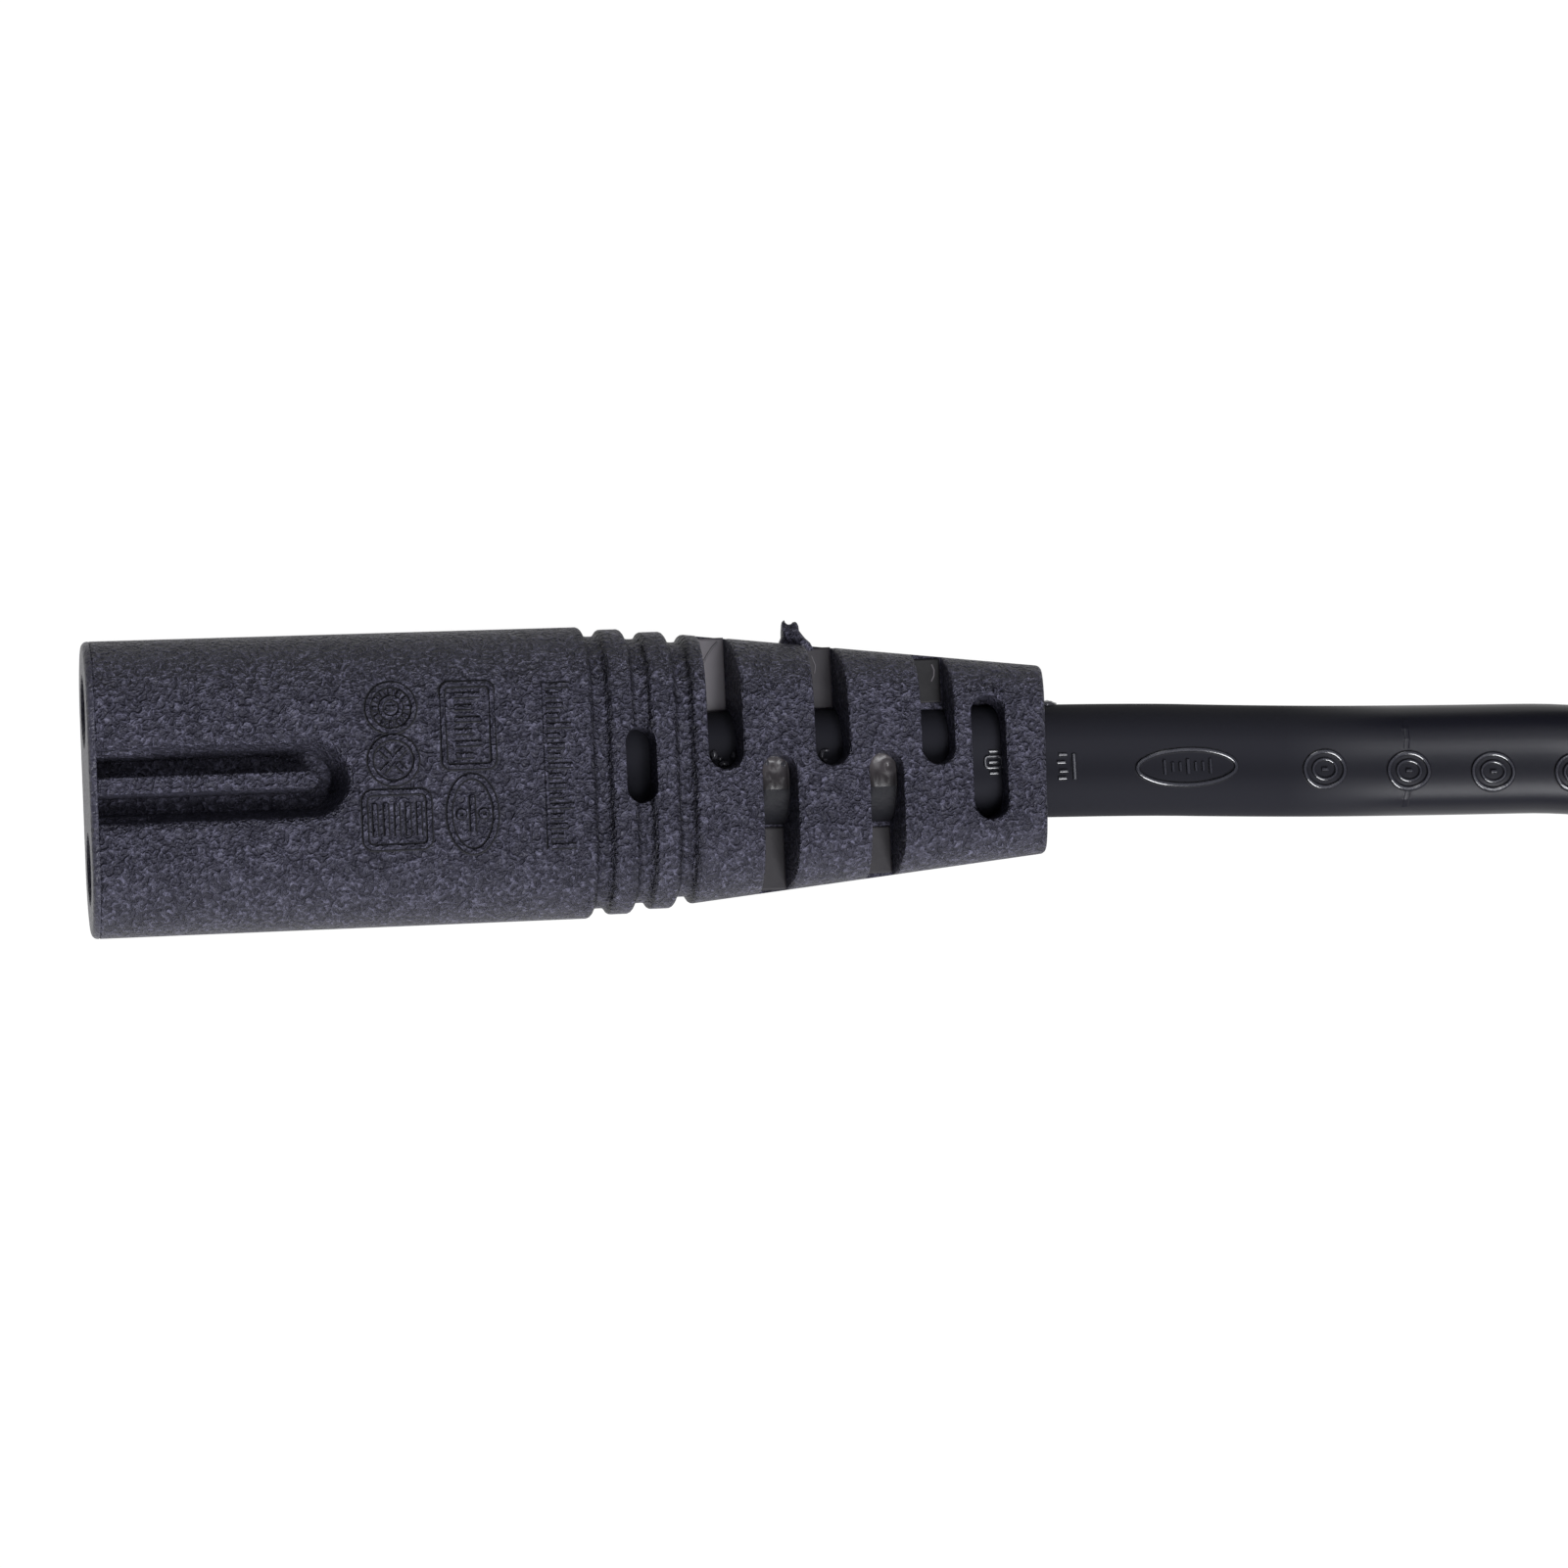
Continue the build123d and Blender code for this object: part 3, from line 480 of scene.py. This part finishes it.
finishes = {
    "connector_body": body_mat, "connector_carrier": carrier_mat,
    "contact_sleeve_left": contact_mat, "contact_sleeve_right": contact_mat,
    "connector_wire_left": copper_mat, "connector_wire_right": copper_mat,
    "connector_core_left": brown_mat, "connector_core_right": blue_mat,
    "hank_tie": tie_mat, "plug_body": body_mat, "plug_bridge": carrier_mat,
    "plug_pin_left": pin_mat, "plug_pin_right": pin_mat,
    "plug_pin_sleeve_left": sleeve_mat, "plug_pin_sleeve_right": sleeve_mat,
    "plug_wire_left": copper_mat, "plug_wire_right": copper_mat,
    "plug_core_left": brown_mat, "plug_core_right": blue_mat,
}
for name, mat in finishes.items():
    nodes[name].data.materials.clear()
    nodes[name].data.materials.append(mat)
cord.data.materials.append(cord_mat)

# ------------------------------------------------------------------ small moulded details
def piece(name, parts, mat, smooth=True):
    verts, faces = join_parts(parts)
    obj = make_object(name, verts, faces, smooth)
    obj.data.materials.append(mat)
    return obj


def skin_z(y):
    """Height of the connector's upper face over y, on its straight part."""
    over = abs(y) - 4.1
    return 8.0 if over <= 0 else 4.0 + math.sqrt(max(16.0 - over * over, 0.0))


STROKE = [(-0.5, -0.35), (-0.5, 0.04), (-0.36, 0.12), (-0.25, 0.86), (-0.12, 1.0),
          (0.12, 1.0), (0.25, 0.86), (0.36, 0.12), (0.5, 0.04), (0.5, -0.35)]
PAINTED_SHADE_FACES = (0, 1, 2, 6, 7, 8, 9)      # its sides, which take painted shade


def stroke(points, width, height, skin, closed=False):
    """A low raised line along points in the plane, laid on a skin, with painted shade on its sides and ends.
    Millimetres.
    """
    pts = [Vector((q[0], q[1])) for q in points]
    verts, faces, kinds = [], [], []
    n, m = len(pts), len(STROKE)
    for i, q in enumerate(pts):
        before = pts[(i - 1) % n] if closed or i else q
        after = pts[(i + 1) % n] if closed or i < n - 1 else q
        d1 = (q - before).normalized() if (q - before).length > 1e-9 else (after - q).normalized()
        d2 = (after - q).normalized() if (after - q).length > 1e-9 else d1
        d = (d1 + d2).normalized()
        out = Vector((-d.y, d.x))
        stretch = 1.0 / max(0.5, d.dot(d2))
        for a, h in STROKE:
            w = q + out * (a * width * stretch)
            verts.append(skin(w.x, w.y, h * height))
    for i in range(n if closed else n - 1):
        j = (i + 1) % n
        for k in range(m):
            k2 = (k + 1) % m
            faces.append((i * m + k, i * m + k2, j * m + k2, j * m + k))
            kinds.append(1 if k in PAINTED_SHADE_FACES else 0)
    if not closed:
        faces.append(tuple(range(m - 1, -1, -1)))
        faces.append(tuple(range((n - 1) * m, n * m)))
        kinds += [1, 1]
    return verts, faces, kinds


def stroked(name, strokes, mats):
    """One object of several strokes."""
    verts, faces = join_parts([(v, f) for v, f, _ in strokes])
    kinds = [k for _, _, group in strokes for k in group]
    mesh = bpy.data.meshes.new(name)
    mesh.from_pydata([tuple(v) for v in verts], [], faces)
    mesh.update()
    for mat in mats:
        mesh.materials.append(mat)
    mesh.polygons.foreach_set("material_index", kinds)
    bm = bmesh.new()
    bm.from_mesh(mesh)
    bmesh.ops.recalc_face_normals(bm, faces=bm.faces)
    bm.to_mesh(mesh)
    bm.free()
    obj = bpy.data.objects.new(name, mesh)
    scene.collection.objects.link(obj)
    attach(obj, "root")
    return obj


def oval(cx, cy, rx, ry, count=40):
    return [(cx + rx * math.cos(2 * math.pi * k / count), cy + ry * math.sin(2 * math.pi * k / count)) for k in range(count)]


def frame_line(cx, cy, w, h, r, per=5):
    """Outline of a rectangle with round corners."""
    out = []
    for sx, sy, a0 in ((1, 1, 0), (-1, 1, 90), (-1, -1, 180), (1, -1, 270)):
        for k in range(per + 1):
            a = math.radians(a0 + 90 * k / per)
            out.append((cx + sx * (w / 2 - r) + r * math.cos(a), cy + sy * (h / 2 - r) + r * math.sin(a)))
    return out


def on_body(x, y, h):
    """x counts from the front face."""
    z = skin_z(y)
    if abs(y) > 4.1:
        lean = math.asin((abs(y) - 4.1) / 4.0)
        return (fx(x) * MM, (y + math.copysign(h * math.sin(lean), y)) * MM, (z + h * math.cos(lean)) * MM)
    return (fx(x) * MM, y * MM, (z + h) * MM)


LINE_W, LINE_H = 0.46, 0.12
marks = []
# dial with twelve ticks and a plain pointer
cx, cy = 16.33, 3.70
marks.append(stroke(oval(cx, cy, 1.26, 1.26), LINE_W, LINE_H, on_body, True))
marks.append(stroke(oval(cx, cy, 0.55, 0.55, 24), LINE_W * 0.8, LINE_H, on_body, True))
for k in range(12):
    a = math.radians(30 * k)
    marks.append(stroke([(cx + r * math.cos(a), cy + r * math.sin(a)) for r in (0.74, 1.04)], LINE_W * 0.7, LINE_H, on_body))
marks.append(stroke([(cx - 0.26, cy), (cx + 0.26, cy)], LINE_W * 0.8, LINE_H, on_body))
# ring with a cross of four bars
cx, cy = 16.37, 0.86
marks.append(stroke(oval(cx, cy, 1.26, 1.26), LINE_W, LINE_H, on_body, True))
for k in range(4):
    a = math.radians(45 + 90 * k)
    marks.append(stroke([(cx + r * math.cos(a), cy + r * math.sin(a)) for r in (0.28, 0.90)], LINE_W, LINE_H, on_body))
# plain frame with upright bars
cx, cy = 16.45, -2.37
marks.append(stroke(frame_line(cx, cy, 3.5, 3.0, 0.45), LINE_W, LINE_H, on_body, True))
for k in range(5):
    marks.append(stroke([(cx - 1.2 + 0.6 * k, cy - 0.9), (cx - 1.2 + 0.6 * k, cy + 0.9)], LINE_W * 0.9, LINE_H, on_body))
# tall frame with short rungs
cx, cy = 20.51, 2.62
marks.append(stroke(frame_line(cx, cy, 2.7, 4.5, 0.35), LINE_W, LINE_H, on_body, True))
for k in range(6):
    marks.append(stroke([(cx - 0.7, cy - 1.65 + 0.66 * k), (cx + (0.7 if k % 2 else 0.25), cy - 1.65 + 0.66 * k)], LINE_W * 0.9, LINE_H, on_body))
# oval with a bar and two dots
cx, cy = 20.57, -2.21
marks.append(stroke(oval(cx, cy, 1.28, 2.05, 48), LINE_W, LINE_H, on_body, True))
marks.append(stroke([(cx, cy - 1.0), (cx, cy + 1.0)], LINE_W, LINE_H, on_body))
for side in (-1, 1):
    marks.append(stroke(oval(cx + 0.62 * side, cy, 0.19, 0.19, 14), LINE_W * 0.7, LINE_H, on_body, True))
# row of ticks like a rule
for k in range(17):
    y = -4.15 + 0.55 * k
    far = 0.85 if k % 4 == 0 else (0.45 if k % 2 else 0.6)
    marks.append(stroke([(25.58 - 0.75, y), (25.58 - 0.75 + far * 1.6, y)], LINE_W * 0.85, LINE_H, on_body))
marks.append(stroke([(25.58 - 0.85, -4.3), (25.58 - 0.85, 4.8)], LINE_W * 0.8, LINE_H, on_body))
stroked("moulded_marks", marks, (body_mat, painted_shade_mat))

# marks pressed up from the cord, which follow its line
along = [(p.x / MM, p) for p in line if p.x < 0.062]


def cord_at(x):
    """Middle of the cord and its slope where it passes x, millimetres."""
    for (xa, a), (xb, b) in zip(along, along[1:]):
        if xa <= x <= xb and xb > xa:
            t = (x - xa) / (xb - xa)
            q = a.lerp(b, t)
            d = (b - a).normalized()
            return q / MM, d
    return along[-1][1] / MM, (along[-1][1] - along[-2][1]).normalized()


def on_cord(x, y, h):
    """x counts from the connector's front face; y is the frame's own; h is the height over the sheath."""
    q, d = cord_at(fx(x))
    side = Vector((0, 0, 1)).cross(d).normalized()
    over = d.cross(side).normalized()
    r, half = CORD_T / 2, CORD_W / 2 - CORD_T / 2
    y = y - q.y
    if abs(y) <= half:
        w = q + side * y + over * (r + h - sink(y / half))
    else:
        a = math.asin(min((abs(y) - half) / r, 0.98))
        w = q + side * math.copysign(half + (r + h) * math.sin(a), y) + over * (r + h) * math.cos(a)
    return tuple(w * MM)


PRINT_W, PRINT_H = 0.36, 0.12
prints = [stroke(oval(61.66, -0.95, 2.95, 1.0, 56), PRINT_W, PRINT_H, on_cord, True)]
for k in range(7):
    x = 61.66 - 1.35 + 0.45 * k
    reach = 0.42 if k % 3 == 0 else 0.26
    prints.append(stroke([(x, -0.93 - reach), (x, -0.93 + reach)], PRINT_W * 0.8, PRINT_H, on_cord))
for x, y in ((70.06, -1.32), (75.27, -1.57), (80.46, -1.80), (85.6, -2.0)):
    prints.append(stroke(oval(x, y, 1.24, 1.02, 36), PRINT_W, PRINT_H, on_cord, True))
    prints.append(stroke(oval(x, y, 0.72, 0.58, 26), PRINT_W * 0.8, PRINT_H, on_cord, True))
    prints.append(stroke([(x - 0.18, y), (x + 0.18, y)], PRINT_W, PRINT_H, on_cord))
prints.append(stroke([(55.02, -1.45), (55.02, 0.0)], PRINT_W, PRINT_H, on_cord))
for k, y in enumerate((-1.35, -0.95, -0.45, -0.02)):
    prints.append(stroke([(54.05 + 0.1 * (k % 2), y), (54.50 + 0.1 * (k % 2), y)], PRINT_W * 0.8, PRINT_H, on_cord))
for y in (-0.92, -0.30, 0.28):
    prints.append(stroke([(50.10, y), (50.60, y)], PRINT_W * 0.8, PRINT_H, on_cord))
prints.append(stroke(frame_line(50.35, -0.30, 0.95, 0.62, 0.2), PRINT_W * 0.7, PRINT_H, on_cord, True))
stroked("cord_marks", prints, (painted_glint_mark_mat, painted_shade_mat))
creases = [stroke([(75.16, -0.30), (75.20, 0.25), (75.15, 0.85), (75.22, 1.35)], 0.5, 0.035, on_cord),
           stroke([(75.20, -2.75), (75.16, -3.2), (75.22, -3.6)], 0.5, 0.035, on_cord)]
stroked("cord_crease", creases, (cord_mat, cord_mat))

# two-pointed stub that the mould's gate left on the parting line
outline = [(38.66, 6.40), (38.80, 6.98), (38.92, 7.28), (38.95, 7.62), (38.99, 8.06), (39.10, 8.16), (39.17, 8.02), (39.32, 7.92), (39.46, 7.90),
           (39.60, 8.02), (39.76, 8.04), (39.84, 7.86), (39.92, 7.62), (40.02, 7.40), (40.22, 7.12), (40.52, 6.86), (40.72, 6.40)]
stub_v, stub_f = [], []
layers = (-0.42, -0.30, 0.0, 0.26, 0.40)
shrink = (0.72, 0.92, 1.0, 0.94, 0.66)
for li, (z, k) in enumerate(zip(layers, shrink)):
    for x, y in outline:
        wob = noise.noise(Vector((x * 3.1, y * 2.7, z * 4.0))) * 0.06
        stub_v.append((fx(39.5 + (x - 39.5) * (0.86 + 0.14 * k) + wob) * MM, (6.4 + (y - 6.4) * k + wob) * MM, (4.0 + z) * MM))
n = len(outline)
for li in range(len(layers) - 1):
    for i in range(n):
        j = (i + 1) % n
        stub_f.append((li * n + i, li * n + j, (li + 1) * n + j, (li + 1) * n + i))
stub_f.append(tuple(range(n - 1, -1, -1)))
stub_f.append(tuple(range((len(layers) - 1) * n, len(layers) * n)))
piece("gate_stub", [(stub_v, stub_f)], body_mat)


def blob(cx, cy, cz, rx, ry, rz, seed, rough=0.16, rings=9, around=16):
    """A small uneven drop."""
    verts, faces = [(cx, cy, cz - rz)], []
    for i in range(1, rings):
        a = math.pi * i / rings - math.pi / 2
        for k in range(around):
            b = 2 * math.pi * k / around
            d = Vector((math.cos(a) * math.cos(b), math.cos(a) * math.sin(b), math.sin(a)))
            g = 1 + rough * noise.noise(d * 1.7 + Vector((seed, 0, 0)))
            verts.append((cx + rx * d.x * g, cy + ry * d.y * g, cz + rz * d.z * g))
    verts.append((cx, cy, cz + rz))
    for k in range(around):
        faces.append((0, 1 + (k + 1) % around, 1 + k))
    for i in range(rings - 2):
        for k in range(around):
            a, b = 1 + i * around + k, 1 + i * around + (k + 1) % around
            faces.append((a, b, b + around, a + around))
    last = len(verts) - 1
    for k in range(around):
        faces.append((1 + (rings - 2) * around + k, 1 + (rings - 2) * around + (k + 1) % around, last))
    return [tuple(c * MM for c in v) for v in verts], faces


def slab(name, top, bottom, mat, dark=None):
    """A closed thin piece between two grids of points, metres. Faces beyond |y| = dark take painted shade."""
    ny, nx = len(top), len(top[0])
    verts = [p for row in top for p in row] + [p for row in bottom for p in row]
    base, faces = ny * nx, []
    for j in range(ny - 1):
        for i in range(nx - 1):
            a = j * nx + i
            faces.append((a, a + 1, a + nx + 1, a + nx))
            faces.append((base + a, base + a + nx, base + a + nx + 1, base + a + 1))
    ring = [i for i in range(nx)] + [j * nx + nx - 1 for j in range(1, ny)]
    ring += [(ny - 1) * nx + i for i in range(nx - 2, -1, -1)] + [j * nx for j in range(ny - 2, 0, -1)]
    for a, b in zip(ring, ring[1:] + ring[:1]):
        faces.append((a, base + a, base + b, b))
    obj = make_object(name, verts, faces)
    obj.data.materials.append(mat)
    # painted shade on the faces beyond |y| = dark
    if dark is not None:
        obj.data.materials.append(painted_shade_mat)
        for polygon in obj.data.polygons:
            if abs(polygon.center.y) > dark * MM:
                polygon.material_index = 1
    bm = bmesh.new()
    bm.from_mesh(obj.data)
    bmesh.ops.recalc_face_normals(bm, faces=bm.faces)
    bm.to_mesh(obj.data)
    bm.free()
    return obj


def half_at(x):
    """Half the relief's width at its parting line."""
    return 7.5 + (5.28 - 7.5) * (x - 33.21) / 20.44


# skins of plastic on the cord at the closed ends of two slots: wrinkled and glossy, lighter near the closed end and
# darker towards the web as painted light and shade, with a painted-shade strip beyond it for the gap at the web
def film(name, x0, x1, y0, y1, bumps, nx=18, ny=26):
    top, bottom = [], []
    for j in range(ny + 1):
        y = y0 + (y1 - y0) * j / ny
        cx, half = (x0 + x1) / 2, (x1 - x0) / 2
        reach = abs(y - y0)
        if reach < half:
            half = math.sqrt(max(half * half - (half - reach) ** 2, 0.01))
        high, low = [], []
        for i in range(nx + 1):
            u = -1 + 2 * i / nx
            x = cx + half * u
            lift = 0.10 + 0.10 * noise.noise(Vector((x * 1.5, y * 1.2, x0))) + 0.03 * noise.noise(Vector((x * 4.1, y * 3.3, 2.0)))
            lift += 0.20 * abs(u) ** 6 + 0.20 * max(0.0, 1 - reach / 0.5) ** 2
            for bx, by, br, bh in bumps:
                d = math.hypot(x - bx, y - by)
                lift += bh * math.exp(-((d - br) / 0.11) ** 2)
            lift *= min(1.0, max(0.0, (y + 2.3) / 1.3) + 0.15)
            high.append(on_cord(x, y, max(lift, 0.02)))
            low.append(on_cord(x, y, -0.05))
        top.append(high)
        bottom.append(low)
    # a painted-shade strip beyond |y| 1.46 for the gap between film and web
    return slab(name, top, bottom, flash_mat, dark=1.46)


film("flash_film_near", 37.02, 38.58, 0.52, -3.3, [(37.75, -0.15, 0.0, 0.16), (38.2, -0.75, 0.0, 0.10), (37.45, -0.6, 0.0, 0.12)])
film("flash_film_far", 43.10, 44.68, 0.50, -3.4, [(44.28, -0.35, 0.26, 0.13), (43.6, -0.9, 0.0, 0.10)])


# the slots' level webs, left smoother than the skin by the mould's blades; their colours are lit and shaded copies of
# one finish: painted light on the first web, painted shade on the third and on the two lower ones
def web(name, x, side, y_in, mat, seed, level, trim=0.05, nx=12, ny=24):
    top, bottom = [], []
    y_out = half_at(x) - trim
    for j in range(ny + 1):
        y = y_in + (y_out - y_in) * j / ny
        high, low = [], []
        for i in range(nx + 1):
            u = -1 + 2 * i / nx
            wave = 0.018 * noise.noise(Vector((u * 1.3 + seed, y * 0.9, 0.0)))
            high.append((fx(x + 0.775 * u) * MM, side * y * MM, (level + 0.05 + wave) * MM))
            low.append((fx(x + 0.775 * u) * MM, side * y * MM, (level - 0.1) * MM))
        top.append(high)
        bottom.append(low)
    return slab(name, top, bottom, mat)


web("web_1", 34.80, 1, 3.14, painted_light_web_mat, 1.0, 4.0)
web("web_2", 40.86, 1, 3.14, web_mat, 2.0, 4.15, 0.12)
web("web_3", 46.95, 1, 3.20, painted_shade_web_mat, 3.0, 4.9, 0.34)
web("web_4", 37.78, -1, 3.42, low_painted_shade_web_mat, 4.0, 4.0)
web("web_5", 43.86, -1, 3.62, low_painted_shade_web_mat, 5.0, 4.1, 0.10)


def on_web(x, y, h):
    level = 4.0 if x < 38 else 4.15 if x < 44 else 4.9
    return (fx(x) * MM, y * MM, (level + 0.06 + h) * MM)


scratches = [stroke([(35.25, 7.05), (34.95, 6.75), (34.62, 6.30), (34.35, 5.85), (34.12, 5.55)], 0.12, 0.03, on_web),
             stroke([(47.25, 5.35), (47.38, 5.05), (47.36, 4.72), (47.2, 4.40)], 0.12, 0.035, on_web),
             stroke([(40.55, 6.1), (40.75, 5.55), (40.68, 5.1)], 0.10, 0.02, on_web)]
stroked("web_scratches", scratches, (painted_light_web_mat, web_mat))

# small glossy drops of flash
drops = []
for x, y, rx, ry, rz, seed in ((34.42, 0.62, 0.20, 0.30, 0.22, 1), (34.98, 0.12, 0.30, 0.16, 0.20, 2), (35.52, 0.55, 0.16, 0.26, 0.2, 3),
                               (34.75, 0.40, 0.12, 0.12, 0.1, 4), (40.50, 0.42, 0.14, 0.30, 0.20, 5), (40.72, 0.66, 0.22, 0.12, 0.18, 6),
                               (40.70, 0.14, 0.18, 0.12, 0.14, 7), (37.35, 0.10, 0.16, 0.18, 0.18, 8), (38.35, 0.02, 0.18, 0.26, 0.2, 9)):
    w = on_cord(x, y, 0.04)
    drops.append(blob(w[0] / MM, w[1] / MM, w[2] / MM, rx, ry, rz, seed * 3.7, 0.3))
# one at the cord's mouth, low on its side
drops.append(blob(fx(54.10), 2.86, 3.95, 0.50, 0.30, 0.42, 4.4, 0.3))
piece("flash_drops", drops, drop_mat)


# short rays on the skin beyond the window's end
def on_relief(x, y, h):
    t = (x - 33.21) / 20.44
    return (fx(x) * MM, y * MM, (4.0 + 3.97 + (3.02 - 3.97) * t + h) * MM)


rays = []
for k in range(5):
    a = math.radians(130 - 20 * k)
    cx, cy = 49.86, 2.42
    rays.append(stroke([(cx + r * math.cos(a), cy + r * math.sin(a)) for r in (1.16, 1.52)], 0.2, 0.05, on_relief))
stroked("window_rays", rays, (body_mat, body_mat))

# ------------------------------------------------------------------ floor and light
floor = make_object("floor", [(-3, -3, -0.0001), (3, -3, -0.0001), (3, 3, -0.0001), (-3, 3, -0.0001)], [(0, 1, 2, 3)], smooth=False, body=None)
floor_mat, floor_tree, floor_shader = material("floor")
grain = node(floor_tree, "ShaderNodeTexNoise", Scale=30.0, Detail=2.0)
tone = ramp(floor_tree, grain.outputs["Fac"], [(0.3, (0.020, 0.020, 0.020, 1)), (0.7, (0.024, 0.024, 0.024, 1))])
floor_tree.links.new(tone.outputs["Color"], floor_shader.inputs["Base Color"])
floor_shader.inputs["Roughness"].default_value = 0.9
floor_shader.inputs["Specular IOR Level"].default_value = 0.1
floor_shader.inputs["Emission Color"].default_value = (1, 1, 1, 1)
floor_shader.inputs["Emission Strength"].default_value = 1.0
floor.data.materials.append(floor_mat)

# a light tent, brighter overhead and on the near side
world = bpy.data.worlds.new("world")
scene.world = world
world.use_nodes = True
sky = world.node_tree
sky_dir = node(sky, "ShaderNodeTexCoord")
sky_axes = node(sky, "ShaderNodeSeparateXYZ")
sky.links.new(sky_dir.outputs["Generated"], sky_axes.inputs["Vector"])
sky_tone = ramp(sky, sky_axes.outputs["Z"], [(0.0, (0.17, 0.175, 0.20, 1)), (0.45, (0.22, 0.225, 0.26, 1)),
                                             (0.75, (0.40, 0.41, 0.47, 1)), (1.0, (0.62, 0.64, 0.73, 1))])
sky_side = node(sky, "ShaderNodeMapRange")
for key, value in (("From Min", -1.0), ("From Max", 1.0), ("To Min", 1.35), ("To Max", 0.35)):
    sky_side.inputs[key].default_value = value
sky.links.new(sky_axes.outputs["Y"], sky_side.inputs["Value"])
sky_mix = node(sky, "ShaderNodeVectorMath", operation="SCALE")
sky.links.new(sky_tone.outputs["Color"], sky_mix.inputs[0])
sky.links.new(sky_side.outputs["Result"], sky_mix.inputs["Scale"])
sky.links.new(sky_mix.outputs[0], sky.nodes["Background"].inputs["Color"])
sky.nodes["Background"].inputs["Strength"].default_value = 0.58


def softbox(name, place, target, size, power, colour=(1, 1, 1)):
    data = bpy.data.lights.new(name, "AREA")
    data.shape = "RECTANGLE"
    data.size, data.size_y = size
    data.energy = power
    data.color = colour
    lamp = bpy.data.objects.new(name, data)
    scene.collection.objects.link(lamp)
    lamp.location = place
    lamp.rotation_mode = "QUATERNION"
    lamp.rotation_quaternion = (Vector(target) - Vector(place)).to_track_quat("-Z", "Y")
    return lamp


softbox("key", (0.20, -0.70, 1.02), (0.03, 0.0, 0.0), (0.5, 0.8), 20.5, (0.96, 0.97, 1.0))
softbox("end", (-0.95, -0.1, 0.55), (0.0, 0.0, 0.0), (0.4, 0.4), 0.06, (0.96, 0.97, 1.0))
# a narrow strip across, which the cord mirrors where it lies level
softbox("strip", (0.27, -0.06, 1.12), (0.04, -0.06, 0.0), (1.2, 0.16), 3.4, (0.96, 0.97, 1.0))

scene.view_settings.view_transform = "Standard"
scene.view_settings.look = "None"
